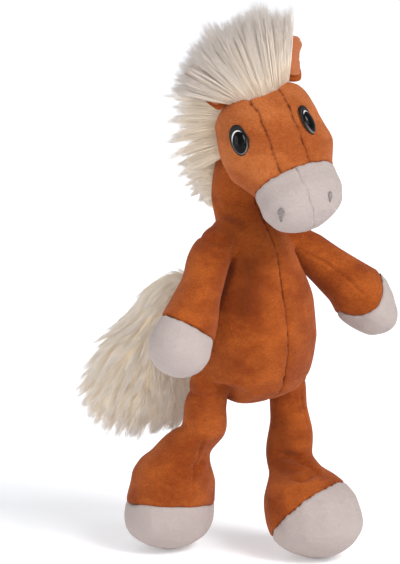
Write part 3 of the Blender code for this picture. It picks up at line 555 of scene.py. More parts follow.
def fur_material(name, root, middle, tip, painted_glow):
    """Long fur: warm at the roots, paler to the tips, each lock a little different, with a faint painted glow
    that lightens the shade among the strands.
    """
    tree, shader = new_material(
        name, 0.62, 0.25, Sheen_Weight=0.15, Sheen_Roughness=0.4,
        Emission_Color=(1.0, 0.92, 0.84), Emission_Strength=painted_glow,
    )
    along = attribute(tree, "along")
    colour = mixed(tree, ranged(tree, along, 0.0, 0.45), root, middle)
    colour = mixed(tree, ranged(tree, along, 0.5, 0.95), colour, tip)
    darker = mixed(tree, 1.0, colour, (0.96, 0.935, 0.89), "MULTIPLY")
    feed(tree, shader, Base_Color=mixed(tree, attribute(tree, "tone"), colour, darker))


def flecked_material(name, roughness, specular, fleck, first, second, strength, distance):
    """A plain material in two tones. The fleck is the scale, detail and roughness of its grain."""
    tree, shader = new_material(name, roughness, specular)
    grain = speckle(tree, own_place(tree), *fleck)
    feed(tree, shader, Base_Color=mixed(tree, ranged(tree, grain, 0.35, 0.65), first, second))
    bump(tree, shader, grain, strength, distance)


def eye_material():
    """Painted eye under a clear dome: dark rim, white corner, dark iris and black pupil."""
    tree, shader = new_material("eye plastic", 0.06, 0.06, Coat_Weight=0.12, Coat_Roughness=0.03)
    spot = node_at(tree, "UVMap")
    spot.uv_map = "face"
    split = node_at(tree, "SeparateXYZ", Vector=spot.outputs["UV"])
    across, upward = split.outputs["X"], split.outputs["Y"]

    def reach(x, y, wide, tall):
        """How far a point of the eye's face lies from a middle, where 1 is on the oval's line."""
        one = reckon(tree, "DIVIDE", reckon(tree, "SUBTRACT", across, x), wide)
        two = reckon(tree, "DIVIDE", reckon(tree, "SUBTRACT", upward, y), tall)
        total = reckon(tree, "ADD", reckon(tree, "POWER", one, 2.0), reckon(tree, "POWER", two, 2.0))
        return reckon(tree, "SQRT", total)

    fleck = speckle(tree, spot.outputs["UV"], 9.0, 4.0)
    outer = reach(-0.16, -0.12, 0.90, 0.93)
    white = mixed(tree, ranged(tree, upward, 0.0, 0.55), (0.055, 0.045, 0.042), (0.74, 0.72, 0.69))
    iris = mixed(tree, ranged(tree, across, -0.4, 0.7), (0.001, 0.001, 0.001), (0.005, 0.005, 0.007))
    iris = mixed(tree, reckon(tree, "MULTIPLY", fleck, 0.5), iris, (0.004, 0.004, 0.004))
    colour = mixed(tree, ranged(tree, outer, 0.96, 1.0), iris, white)
    edge = reckon(tree, "MULTIPLY", ranged(tree, outer, 0.84, 0.90), ranged(tree, outer, 0.97, 1.0, 1.0, 0.0))
    colour = mixed(tree, edge, colour, (0.005, 0.005, 0.006))
    pupil = reach(-0.14, -0.06, 0.50, 0.62)
    colour = mixed(tree, ranged(tree, pupil, 0.94, 1.02, 1.0, 0.0), colour, (0.002, 0.002, 0.002))
    rim = reach(0.0, 0.0, 1.0, 1.0)
    grey = mixed(tree, ranged(tree, upward, -0.7, 0.2), (0.16, 0.15, 0.145), (0.006, 0.006, 0.006))
    feed(tree, shader, Base_Color=mixed(tree, ranged(tree, rim, 0.89, 0.93), colour, grey))


# Fur


STRAND_SIDES = 3
STRAND_STEPS = 3


def strand_faces():
    """The faces of one strand: its foot, its sides ring by ring, and its tip."""
    faces = [(2, 1, 0)]
    for level in range(STRAND_STEPS):
        low = level * STRAND_SIDES
        for side in range(STRAND_SIDES):
            after = (side + 1) % STRAND_SIDES
            if level < STRAND_STEPS - 1:
                faces.append((low + side, low + after, low + STRAND_SIDES + after, low + STRAND_SIDES + side))
            else:
                faces.append((low + side, low + after, low + STRAND_SIDES))
    return faces


def strands(name, roots, middles, tips, widths, tones):
    """Closed slivers, one for each root, bent through its middle to its tip."""
    count = len(roots)
    line = tips - roots
    line /= np.linalg.norm(line, axis=1)[:, None] + 1e-12
    across = np.cross(line, np.tile(np.array([0.31, 0.52, 0.79]), (count, 1)))
    across /= np.linalg.norm(across, axis=1)[:, None]
    upward = np.cross(line, across)
    each = STRAND_STEPS * STRAND_SIDES + 1
    rows = np.empty((count, each, 3))
    share = np.ones((count, each))
    for level in range(STRAND_STEPS):
        part = level / STRAND_STEPS
        centre = roots * (1 - part) ** 2 + middles * (2 * part * (1 - part)) + tips * part**2
        size = widths * (1.0 - part**2) * (0.75 + 0.25 * min(1.0, part * 4))
        for side in range(STRAND_SIDES):
            angle = 2 * math.pi * side / STRAND_SIDES
            ring = across * math.cos(angle) + upward * math.sin(angle)
            rows[:, level * STRAND_SIDES + side] = centre + ring * size[:, None]
            share[:, level * STRAND_SIDES + side] = part
    rows[:, -1] = tips
    faces = strand_faces()
    corners = np.array([corner for face in faces for corner in face])
    loops = (corners[None, :] + np.arange(count)[:, None] * each).ravel()
    totals = np.tile([len(face) for face in faces], count)
    starts = np.concatenate(([0], np.cumsum(totals)[:-1]))
    mesh = bpy.data.meshes.new(name)
    mesh.vertices.add(count * each)
    mesh.vertices.foreach_set("co", rows.ravel())
    mesh.loops.add(len(loops))
    mesh.loops.foreach_set("vertex_index", loops.astype(np.int32))
    mesh.polygons.add(len(totals))
    mesh.polygons.foreach_set("loop_start", starts.astype(np.int32))
    mesh.update(calc_edges=True)
    mesh.validate()
    for word, values in (("along", share.ravel()), ("tone", np.repeat(tones, each))):
        mesh.attributes.new(word, "FLOAT", "POINT").data.foreach_set("value", values)
    return new_object(name, mesh)


def combed(name, bases, middles, tips, keys, pull, spread, chance):
    """Draws the tips of neighbouring strands together into pointed locks, and makes the strands."""
    count = len(tips)
    heads = chance.permutation(count)[:keys]
    finder = KDTree(keys)
    for index, head in enumerate(heads):
        finder.insert(Vector(tips[head]), index)
    finder.balance()
    nearest = np.array([finder.find(Vector(tip))[1] for tip in tips])
    shift = tips[heads][nearest] - tips
    shift *= np.minimum(1.0, spread / (np.linalg.norm(shift, axis=1)[:, None] + 1e-9))
    tones = chance.uniform(0.0, 1.0, keys)[nearest]
    widths = fur_settings().strand_width * chance.uniform(0.7, 1.25, count)
    tones = np.clip(tones * 0.8 + chance.uniform(-0.2, 0.3, count), 0.0, 1.0)
    return strands(name, bases, middles + shift * pull * 0.22, tips + shift * pull, widths, tones)


# Settings


def length(name, description, default):
    return bpy.props.FloatProperty(name=name, description=description, default=default, unit="LENGTH")


def tint(name, description, *steps):
    colour = linear(*steps)
    return bpy.props.FloatVectorProperty(name=name, description=description, subtype="COLOR", default=colour)


class FurSettings(bpy.types.PropertyGroup):
    """The sizes of the long fur, in the head's own directions."""

    strand_width: length("Strand width", "Half width of a strand of fur at its root", 0.00019)
    forelock_length: length("Forelock length", "Length of the longest strands on the crown", 0.056)
    mane_length: length("Mane length", "Length of the strands on the sides of the mane", 0.041)
    strand_count: bpy.props.IntProperty(
        name="Strands", description="Strands in each tuft of fur", default=11400
    )


class PlushSettings(bpy.types.PropertyGroup):
    """The sizes and colours of the sewn skins."""

    skin_thickness: length("Skin thickness", "Thickness of the plush fabric's backing", 0.0009)
    seam_depth: length("Seam depth", "How far the skins roll in at a seam", 0.0010)
    seam_width: length("Seam width", "How far from a seam the skins begin to roll in", 0.0024)
    brown: tint("Brown plush", "The body's brown plush where its nap catches the light", 176, 88, 32)
    brown_shade: tint("Brown shade", "The body's brown plush where its nap lies away", 135, 57, 13)
    # The head's plush is the body's same fabric, painted lighter for the light that falls on the head
    head_brown_painted_lighter: tint("Head plush painted lighter", "The body's brown plush painted lighter for the light on the head, where its nap catches the light", 193, 110, 57)
    head_shade_painted_lighter: tint("Head shade painted lighter", "The body's brown plush painted lighter for the light on the head, where its nap lies away", 160, 79, 32)
    white: tint("White plush", "The white plush of muzzle and hooves", 184, 171, 166)


# Operators


def settings():
    return bpy.context.scene.plush_horse


def fur_settings():
    return bpy.context.scene.plush_horse_fur


class HORSE_OT_materials(bpy.types.Operator):
    """Makes the plush, fur, stuffing, eye and thread materials"""

    bl_idname = "horse.materials"
    bl_label = "Materials"

    def execute(self, context):
        look = settings()
        plush_group()
        for name, lit, shade, deep, patch, tuft, sheen in (
            ("brown plush", look.brown, look.brown_shade, linear(88, 34, 7), 0.85, 0.34, 0.5),
            # The head plush is a copy of the brown plush painted lighter, for the light on the head
            ("head plush painted lighter", look.head_brown_painted_lighter, look.head_shade_painted_lighter, linear(108, 44, 10), 0.85, 0.34, 0.5),
            ("white plush", look.white, linear(175, 161, 156), linear(166, 151, 145), 0.5, 0.3, 0.2),
            ("ear lining", linear(190, 118, 80), linear(172, 100, 64), linear(130, 70, 42), 0.6, 0.3, 0.4),
        ):
            plush_material(name, lit, shade, deep, patch, tuft, sheen)
        # The last number is the fur's painted glow, which lightens the shade among the strands
        fur_material("long fur", linear(252, 235, 212), linear(230, 219, 207), linear(223, 213, 207), 0.04)
        fur_material("tail fur", linear(244, 224, 194), linear(240, 228, 210), linear(237, 227, 217), 0.06)
        wool = (160.0, 6.0, 0.65)
        flecked_material("stuffing", 0.95, 0.1, wool, (0.72, 0.72, 0.70), (0.86, 0.86, 0.85), 0.8, 0.002)
        eye_material()
        for name, first, second in (
            ("eyelid felt", (22, 17, 15), (9, 7, 7)),
            ("nostril thread", (150, 142, 138), (106, 99, 96)),
            ("washer plastic", (216, 214, 208), (204, 202, 197)),
        ):
            flecked_material(name, 0.55, 0.3, (1500.0,), linear(*first), linear(*second), 0.6, 0.0004)
        return {"FINISHED"}


class HORSE_OT_stuffing(bpy.types.Operator):
    """Gives the filled roots of the limbs and neck their woolly look, and the washers their plastic"""

    bl_idname = "horse.stuffing"
    bl_label = "Stuffing"

    def execute(self, context):
        for name in sorted(frame["nodes"]):
            if name.endswith("wad"):
                thing = body_form(f"{name}_wool", [name], voxel=0.0008, smoothing=5, proud=-0.0003)
                finish_piece(thing, "stuffing", name, name)
            if name.endswith("washer"):
                data = frame["nodes"][name].data
                data.materials.clear()
                data.materials.append(bpy.data.materials["washer plastic"])
        return {"FINISHED"}


def joint_place(name):
    return np.array(next(joint["pos_m"] for joint in frame["joints"] if joint["name"] == name))


# Nudges and marks are in pixels of the picture: see nudged and pressed
TRUNK_NUDGES = ((240, 398, 34, 0, 3), (312, 290, 30, 2, 0))
# Each mark's last number is how dark its painted shade is; the last mark presses nothing and is a broad patch
# of painted shade down the belly
TRUNK_MARKS = (
    (((239, 236), (233, 250), (229, 268)), 0.0022, 0.0012, 0.25),
    (((212, 196), (222, 212), (236, 222)), 0.0030, 0.0010, 0.1),
    (((256, 238), (250, 270), (246, 305), (242, 335)), 0.0165, 0.0, 0.92),
)


class HORSE_OT_trunk(bpy.types.Operator):
    """Sews the trunk from its left and right panels"""

    bl_idname = "horse.trunk"
    bl_label = "Trunk"

    def execute(self, context):
        balls = []
        for word, side in SIDES:
            shoulder, hip = joint_place(f"{word}_arm_swing"), joint_place(f"{word}_leg_swing")
            balls.append((shoulder + np.array([-side * 0.0030, 0.0, 0.0015]), 0.0122))
            balls.append((shoulder + np.array([-side * 0.0110, 0.001, 0.0060]), 0.0120))
            balls.append((hip + np.array([0.0, 0.0, 0.0070]), 0.0122))
        nodes = ["trunk_panel_left", "trunk_panel_right", "trunk_filling", "neck_wad"]
        body = body_form(
            "trunk_form", nodes, voxel=0.0011, smoothing=22, proud=0.0002, nudges=TRUNK_NUDGES, balls=balls
        )
        pressed(body, TRUNK_MARKS)
        stuffed(body, "trunk")
        middle = seam_planes("trunk_panel_right", "trunk_panel_left")[0]
        pieces = sewn_pieces(
            body, [middle], lambda point: "left" if beyond(middle, point) > 0 else "right", seed=3, line=0.66
        )
        for word, piece in pieces.items():
            piece.name = f"trunk_skin_{word}"
            finish_piece(piece, "brown plush", "trunk", f"trunk_panel_{word}")
        return {"FINISHED"}


def iron_out(thing, reach, middles):
    """Smooths a form strongly round some points, where a solid's edges still show."""
    rows = places(thing)
    group = thing.vertex_groups.new(name="flat")
    for middle in middles:
        near = np.flatnonzero(np.linalg.norm(rows - middle, axis=1) < reach)
        group.add([int(index) for index in near], 1.0, "REPLACE")
    apply_change(thing, "SMOOTH", factor=0.6, iterations=90, vertex_group="flat")
    thing.vertex_groups.clear()


HEAD_NUDGES = ((330, 112, 34, -5, 1), (344, 190, 26, -2, 0), (292, 232, 26, 0, 2), (318, 232, 20, 0, 2))
# Each mark's last number is how dark its painted shade is
HEAD_MARKS = (
    (((263, 217), (267, 221), (272, 225)), 0.0009, 0.0010, 0.8),
    (((236, 160), (243, 172), (252, 184)), 0.0040, 0.0006, 0.0),
)


class HORSE_OT_head(bpy.types.Operator):
    """Sews the head from its sides, forehead gusset and muzzle halves"""

    bl_idname = "horse.head"
    bl_label = "Head"

    def execute(self, context):
        nodes = ["head_side_left", "head_side_right", "forehead_gusset", "muzzle_left", "muzzle_right"]
        nodes.append("head_filling")
        for fitting in ("eye_felt", "nostril_stitch", "eye_washer"):
            nodes += [f"{word}_{fitting}" for word, _ in SIDES]
        body = body_form("head_form", nodes, voxel=0.0010, smoothing=26, proud=0.0002, nudges=HEAD_NUDGES)
        iron_out(body, reach=0.0135, middles=eye_felts().values())
        FORMS["head_form"] = tree_of(body)
        pressed(body, HEAD_MARKS)
        stuffed(body, "head")
        cut, ahead = seam_planes("forehead_gusset", "muzzle_left")[0]
        nose = (cut + ahead * 0.0025, ahead)
        middle = seam_planes("muzzle_right", "muzzle_left")[0]
        left_seam, crown = seam_planes("forehead_gusset", "head_side_left", 2)
        right_seam = seam_planes("forehead_gusset", "head_side_right")[0]

        def piece_of(point):
            word = "left" if beyond(middle, point) > 0 else "right"
            if beyond(nose, point) > 0:
                return f"muzzle_plush_{word}"
            if all(beyond(seam, point) < 0 for seam in (left_seam, right_seam, crown)):
                return "forehead_plush"
            return f"cheek_plush_{word}"

        pieces = sewn_pieces(
            body,
            [nose, middle, left_seam, right_seam, crown],
            piece_of,
            seed=5,
            roll=0.7,
            line=0.95,
            shallow=lambda point: 0.6 if beyond(nose, point) > settings().seam_width else 1.0,
        )
        # The head's brown pieces take the brown plush painted lighter, for the light on the head
        finish_piece(pieces["forehead_plush"], "head plush painted lighter", "head", "forehead_gusset")
        for word, _ in SIDES:
            finish_piece(pieces[f"cheek_plush_{word}"], "head plush painted lighter", "head", f"head_side_{word}")
            finish_piece(pieces[f"muzzle_plush_{word}"], "white plush", "head", f"muzzle_{word}")
        return {"FINISHED"}


LIMB_NUDGES = {
    ("left", "arm"): ((400, 294, 36, -11, 0), (340, 318, 22, -3, 3), (302, 236, 20, -4, 3)),
    ("right", "arm"): ((188, 250, 30, -5, 0), (212, 325, 26, 2, 0), (216, 228, 22, 4, 7)),
    ("left", "leg"): (
        (272, 455, 40, -6, 0),
        (313, 430, 30, 4, 0),
        (262, 500, 30, -3, 0),
        (366, 545, 30, -3, -3),
    ),
    ("right", "leg"): (
        (138, 450, 36, -3, 0),
        (172, 438, 26, -2, -6),
        (186, 405, 26, -5, 0),
        (222, 430, 26, 4, 0),
        (212, 458, 26, -5, 0),
    ),
}
# How far each cuff bows toward its hoof and tilts in the picture, and the limb's half width there
CUFF_BOWS = {
    ("left", "arm"): (0.0135, 0.0005, 0.0170),
    ("right", "arm"): (0.0010, -0.0055, 0.0190),
    ("left", "leg"): (0.0, 0.0042, 0.0330),
    ("right", "leg"): (0.0, 0.0, 0.0200),
}
# Each mark's last number is how dark its painted shade is
LIMB_MARKS = {
    ("left", "arm"): ((((300, 250), (325, 262), (350, 281), (372, 302)), 0.0011, 0.0010, 0.7),),
    ("right", "arm"): ((((232, 250), (226, 290), (219, 330)), 0.0011, 0.0006, 0.3),),
    ("left", "leg"): (
        (((279, 452), (296, 458), (310, 465)), 0.0026, 0.0034, 0.45),
        (((305, 462), (315, 470), (322, 478)), 0.0020, 0.0022, 0.4),
        (((292, 478), (303, 480), (316, 472)), 0.0024, 0.0026, 0.4),
        (((300, 392), (304, 410), (308, 430)), 0.0012, 0.0010, 0.5),
        # This mark presses nothing: it is a broad patch of painted shade down the leg's side
        (((284, 400), (282, 440), (284, 470), (296, 496)), 0.0130, 0.0, 0.85),
    ),
    ("right", "leg"): (
        (((206, 432), (200, 450), (196, 466), (193, 480), (193, 496)), 0.0012, 0.0012, 0.5),
        (((207, 455), (198, 466), (190, 470)), 0.0026, 0.0016, 0.2),
        (((198, 400), (204, 420), (205, 436)), 0.0022, 0.0006, 0.1),
        (((158, 440), (166, 446), (176, 444)), 0.0030, 0.0007, 0.0),
    ),
}


def bowed(rows, cuff, bow, tilt, wide):
    """Moves points along a limb by the bow and tilt of its cuff, as the camera sees them."""
    point, way = np.array(cuff[0]), np.array(cuff[1])
    across = np.cross(way, TOWARD)
    shown = np.linalg.norm(across)
    place = (rows - point) @ across / shown / wide
    share = np.clip(1.0 - place**2, 0.0, 1.0) ** 0.7
    return rows + np.outer((share * bow + place * tilt) / shown, way)


def round_sole(thing, height=0.023, flat_share=0.46):
    """Draws a foot in towards its sole, so that it stands on a small round patch."""
    rows = places(thing)
    low = rows[:, 2] < height
    middle = rows[low].mean(axis=0)
    fall = np.clip(1.0 - rows[low, 2] / height, 0.0, 1.0)
    share = np.sqrt(1.0 - fall**2 * (1.0 - flat_share**2))
    rows[low, :2] = middle[:2] + (rows[low, :2] - middle[:2]) * share[:, None]
    set_places(thing, rows)


class HORSE_OT_limbs(bpy.types.Operator):
    """Sews the arms and legs, each a brown sleeve with a white hoof"""

    bl_idname = "horse.limbs"
    bl_label = "Arms and legs"

    def execute(self, context):
        for seed, (word, _) in enumerate(SIDES):
            for limb, upper, root in (("arm", "sleeve", "shoulder"), ("leg", "skin", "hip")):
                name = f"{word}_{limb}"
                skin, hoof = f"{name}_{upper}", f"{name}_hoof"
                nodes = [skin, hoof, f"{name}_filling", f"{word}_{root}_wad"]
                body = body_form(
                    f"{name}_form",
                    nodes,
                    voxel=0.0009,
                    smoothing=48,
                    proud=0.0005,
                    nudges=LIMB_NUDGES[word, limb],
                )
                if limb == "leg":
                    round_sole(body)
                pressed(body, LIMB_MARKS[word, limb])
                stuffed(body, name)
                cuff = seam_planes(skin, hoof)[0]
                bow, tilt, wide = CUFF_BOWS[word, limb]
                set_places(body, bowed(places(body), cuff, -bow, -tilt, wide))
                names = (f"{name}_plush", f"{name}_hoof_plush")
                pieces = sewn_pieces(body, [cuff], lambda point: names[beyond(cuff, point) > 0], 7 + seed)
                for piece in pieces.values():
                    set_places(piece, bowed(places(piece), cuff, bow, tilt, wide))
                finish_piece(pieces[names[0]], "brown plush", name, skin)
                finish_piece(pieces[names[1]], "white plush", name, hoof)
        return {"FINISHED"}


EAR_NUDGES = {
    "left": ((307, 58, 22, -6, 0), (298, 30, 24, 0, 7)),
    "right": ((196, 86, 24, -8, -9),),
}


class HORSE_OT_ears(bpy.types.Operator):
    """Makes the two soft ears with their paler linings"""

    bl_idname = "horse.ears"
    bl_label = "Ears"

    def execute(self, context):
        for word, _ in SIDES:
            for node, finish in ((f"{word}_ear", "brown plush"), (f"{word}_ear_lining", "ear lining")):
                thing = body_form(
                    f"{node}_plush", [node], voxel=0.0005, smoothing=6, proud=0.0002, nudges=EAR_NUDGES[word]
                )
                finish_piece(thing, finish, f"{word}_ear", node)
        return {"FINISHED"}


# Pixels round a seat whose directions are mixed, so that the way out is that of the form as a whole
RING = ((4, 0), (-4, 0), (0, 6), (0, -6), (3, 4), (-3, 4), (3, -4), (-3, -4))


def seat(form, x, y):
    """The point of a form that shows at a pixel of the picture, with the way out of it there."""
    tree, start = FORMS[form], Vector(CAMERA_PLACE)
    hit, way, _, _ = tree.ray_cast(start, Vector(sight(x, y)))
    near = [tree.ray_cast(start, Vector(sight(x + across, y + down)))[1] for across, down in RING]
    way = sum((other for other in near if other is not None), way)
    return np.array(hit), np.array(way.normalized())


# Where each eye stands in the picture, and how far it is turned toward the toy's left from its seat
EYE_SPOTS = {"left": (307.5, 122), "right": (240, 142)}
EYE_TURNS = {"left": 0.48, "right": -0.08}

# Half the width and height of an eye's face, and how far it bulges in front and behind
EYE_WIDE, EYE_TALL, EYE_BULGE, EYE_BACK = 0.0051, 0.0079, 0.0034, 0.0016


def eye_frame(word, side):
    """The middle of an eye's seat and its directions: to the side of the head, up and outward."""
    centre, outward = seat("head_form", *EYE_SPOTS[word])
    left, back, crown = head_ways()
    outward = outward + left * EYE_TURNS[word]
    outward /= np.linalg.norm(outward)
    up = crown + back * 0.15
    up = up - outward * (up @ outward)
    up /= np.linalg.norm(up)
    return centre, np.cross(up, outward) * side, up, outward


class HORSE_OT_eyes(bpy.types.Operator):
    """Makes the domed safety eyes with their dark felt lids"""

    bl_idname = "horse.eyes"
    bl_label = "Eyes"

    def execute(self, context):
        for word, side in SIDES:
            centre, across, up, outward = eye_frame(word, side)
            form = bmesh.new()
            bmesh.ops.create_uvsphere(form, u_segments=48, v_segments=24, radius=1.0)
            for vert in form.verts:
                x, y, z = vert.co
                lift = (EYE_BULGE if z > 0 else EYE_BACK) * z + 0.0002
                vert.co = Vector(centre + across * (x * EYE_WIDE) + up * (y * EYE_TALL) + outward * lift)
            bmesh.ops.recalc_face_normals(form, faces=form.faces[:])
            dome = object_of(f"{word}_eye_dome", form)
            flat = dome.data.uv_layers.new(name="face")
            for loop in dome.data.loops:
                point = np.array(dome.data.vertices[loop.vertex_index].co) - centre
                flat.data[loop.index].uv = (point @ across / EYE_WIDE, point @ up / EYE_TALL)
            finish_piece(dome, "eye plastic", "head", f"{word}_eye")
            lid = eyelid(f"{word}_eyelid", centre, across, up, outward)
            finish_piece(lid, "eyelid felt", "head", f"{word}_eye_felt")
        return {"FINISHED"}


def eyelid(name, centre, across, up, outward, sides=64, around=12):
    """A soft ring of felt round the eye, thickest over its upper outer corner."""
    rows, faces = [], []
    for index in range(sides):
        angle = 2 * math.pi * index / sides
        way = across * (math.cos(angle) * EYE_WIDE) + up * (math.sin(angle) * EYE_TALL)
        reach = np.linalg.norm(way)
        size = 0.00042 + 0.00135 * max(0.0, math.sin(angle + 0.25)) ** 2
        middle = centre + way * (1.0 + size / reach * 0.55) + outward * 0.0003
        low, high = index * around, (index + 1) % sides * around
        for step in range(around):
            turn = 2 * math.pi * step / around
            beside = (step + 1) % around
            ring = way / reach * (math.cos(turn) * size * 1.15) + outward * (math.sin(turn) * size)
            rows.append(middle + ring)
            faces.append((low + step, high + step, high + beside, low + beside))
    return mesh_of(name, [(rows, faces)])


def tube(points, radius, sides=8):
    """A closed thread through points, as rows of corners and faces."""
    rows, faces = [], []
    count = len(points)
    for index, point in enumerate(points):
        ahead = points[min(index + 1, count - 1)] - points[max(index - 1, 0)]
        ahead = ahead / np.linalg.norm(ahead)
        across = np.cross(ahead, np.array([0.23, 0.61, 0.75]))
        across /= np.linalg.norm(across)
        upward = np.cross(ahead, across)
        for side in range(sides):
            angle = 2 * math.pi * side / sides
            rows.append(point + across * (math.cos(angle) * radius) + upward * (math.sin(angle) * radius))
    for index in range(count - 1):
        for side in range(sides):
            after = (side + 1) % sides
            low, high = index * sides, (index + 1) * sides
            faces.append((low + side, high + side, high + after, low + after))
    faces.append(tuple(range(sides)))
    faces.append(tuple(reversed(range((count - 1) * sides, count * sides))))
    return rows, faces


def mesh_of(name, parts):
    """One object from several sets of corners and faces."""
    rows, faces = [], []
    for some, more in parts:
        faces += [tuple(index + len(rows) for index in face) for face in more]
        rows += [Vector(row) for row in some]
    mesh = bpy.data.meshes.new(name)
    mesh.from_pydata(rows, [], faces)
    form = bmesh.new()
    form.from_mesh(mesh)
    bmesh.ops.recalc_face_normals(form, faces=form.faces[:])
    form.to_mesh(mesh)
    form.free()
    return new_object(name, mesh)


# The middle of each nostril in the picture, with its half width and half height in pixels
NOSTRIL_SPOTS = {"left": (330, 196, 1.6, 4.5), "right": (281, 214, 2.8, 6.0)}


class HORSE_OT_nostrils(bpy.types.Operator):
    """Stitches the nostrils, each a small satin-stitched drop"""

    bl_idname = "horse.nostrils"
    bl_label = "Nostrils"

    def execute(self, context):
        for word, _ in SIDES:
            x, y, wide, tall = NOSTRIL_SPOTS[word]
            parts = []
            for index in range(7):
                place = index / 3 - 1
                half = tall * math.sqrt(1.0 - 0.8 * place**2)
                points = []
                for step in range(9):
                    share = step / 8
                    lean = place * wide * (0.55 + 0.45 * share)
                    down = half * (1 - 2 * share) + tall * 0.25 * (1 - abs(place)) * (1 - share)
                    point, outward = seat("head_form", x + lean, y + down)
                    points.append(point + outward * (0.0002 + 0.0004 * math.sin(math.pi * share)))
                parts.append(tube(points, 0.00034))
            thing = mesh_of(f"{word}_nostril_thread", parts)
            finish_piece(thing, "nostril thread", "head", f"{word}_nostril_stitch")
        return {"FINISHED"}


def eye_felts():
    """The middle of the felt behind each eye."""
    return {word: places(frame["nodes"][f"{word}_eye_felt"]).mean(axis=0) for word, _ in SIDES}


def head_ways():
    """The head's own directions: its left, its back and its crown."""
    eyes = eye_felts()
    left = eyes["left"] - eyes["right"]
    left /= np.linalg.norm(left)
    yaw = math.atan2(left[1], left[0])
    back = np.array([-math.sin(yaw), math.cos(yaw), 0.0])
    return left, back, np.cross(left, back)


# The middle of the skull
SKULL = SHIFT + np.array([-0.0015, -0.0215, 0.268])


def rooted(tree, rows):
    """Roots of strands on a solid, with the way and length of each strand.

    Each row is a start outside the solid, the way out from the solid to there, and the strand's own
    way and length. A row that misses the solid is left out.
    """
    found = []
    for start, out, way, reach in rows:
        hit = tree.ray_cast(Vector(start), Vector(-out))[0]
        if hit is not None:
            found.append((np.array(hit), way, reach))
    return [np.array(column) for column in zip(*found)]


def solid_points(node, count, chance):
    """Points spread evenly at random over a solid's surface, with the outward directions there."""
    mesh = frame["nodes"][node].data
    mesh.calc_loop_triangles()
    rows = places(frame["nodes"][node])
    picks = np.array([triangle.vertices[:] for triangle in mesh.loop_triangles])
    one, two, three = rows[picks[:, 0]], rows[picks[:, 1]], rows[picks[:, 2]]
    ways = np.cross(two - one, three - one)
    areas = np.linalg.norm(ways, axis=1)
    chosen = chance.choice(len(picks), count, p=areas / areas.sum())
    first, second = chance.uniform(size=count), chance.uniform(size=count)
    over = first + second > 1
    first[over], second[over] = 1 - first[over], 1 - second[over]
    points = (
        one[chosen]
        + (two - one)[chosen] * first[:, None]
        + (three - one)[chosen] * second[:, None]
    )
    return points, (ways / (areas[:, None] + 1e-15))[chosen]


def underfur(fur, node, inside, shrink, middle, nudges=(), balls=()):
    """Fills a tuft with its short dense underfur, a soft core just inside the strands."""
    core = body_form(f"{node}_core", [node], voxel=0.0024, smoothing=14, proud=-inside, balls=balls)
    set_places(core, nudged(middle + (places(core) - middle) * shrink, nudges))
    join_into(fur, [core])


def filled_out(node, count, middle, share, chance):
    """Roots, ways and lengths of strands that end all over the outside of a tuft's solid."""
    lines = solid_points(node, count, chance)[0] - middle
    lengths = np.linalg.norm(lines, axis=1)
    return middle + lines * (1 - share), lines / lengths[:, None], lengths * share


def lay_fur(name, tufts, droop, keys, pull, spread, seed, uneven=0.09, sink=0.004):
    """Grows gathered strands from roots along their ways, bent down by a droop.

    tufts holds sets of roots, ways and lengths. sink is how deep the strands start in the cloth.
    """
    chance = np.random.default_rng(seed)
    roots, ways, lengths = (np.concatenate(column) for column in zip(*tufts))
    count = len(roots)
    ways = ways / np.linalg.norm(ways, axis=1)[:, None]
    waves = ripples(roots + ways * 0.03, 0.012, seed)
    lengths = lengths * chance.uniform(0.78, 1.0, count) * (1 + uneven * waves)
    tips = roots + ways * lengths[:, None] + np.array([0.0, 0.0, -droop]) * lengths[:, None]
    middles = roots + ways * (lengths * 0.55)[:, None] + chance.normal(size=(count, 3)) * 0.0012
    return combed(name, roots - ways * sink, middles, tips, keys, pull, spread, chance)


class HORSE_OT_forelock(bpy.types.Operator):
    """Grows the upright fan of fur on the crown"""

    bl_idname = "horse.forelock"
    bl_label = "Forelock"

    def execute(self, context):
        look = fur_settings()
        chance = np.random.default_rng(11)
        left, back, crown = head_ways()
        spot = chance.uniform(-1.0, 1.0, look.strand_count)
        deep = chance.uniform(0.0, 1.0, look.strand_count)
        rows = []
        for place, depth in zip(spot, deep):
            x = 0.0185 * place if place > 0 else 0.0180 * place
            y = -0.004 - 0.012 * (1 - place**2) * (1 - depth) + 0.016 * depth
            angle = math.radians(20) * place if place > 0 else -math.radians(60) * abs(place) ** 1.2
            pitch = math.radians(-8 + 34 * depth)
            rise = crown * (math.cos(angle) * math.cos(pitch))
            way = left * math.sin(angle) + rise + back * (math.cos(angle) * math.sin(pitch))
            fall = 0.10 if place > 0 else 0.22
            reach = look.forelock_length * (1 - fall * place**2) * (1 - 0.22 * depth)
            rows.append((SKULL + left * x + back * y + crown * 0.06, crown, way, reach))
        tufts = [rooted(solid_tree("head_filling"), rows)]
        thing = lay_fur(
            "forelock_fur", tufts, droop=0.0, keys=620, pull=0.55, spread=0.0045, seed=12, uneven=0.04
        )
        underfur(thing, "forelock", inside=0.0042, shrink=0.74, middle=SKULL + crown * 0.024)
        finish_piece(thing, "long fur", "head", "forelock")
        return {"FINISHED"}


NECK_FUR_NUDGES = ((192, 205, 110, -1, -24),)
TAIL_NUDGES = ((178, 402, 52, 16, 9), (96, 392, 50, -6, 6), (120, 316, 40, 6, 4), (168, 282, 34, 4, -11))


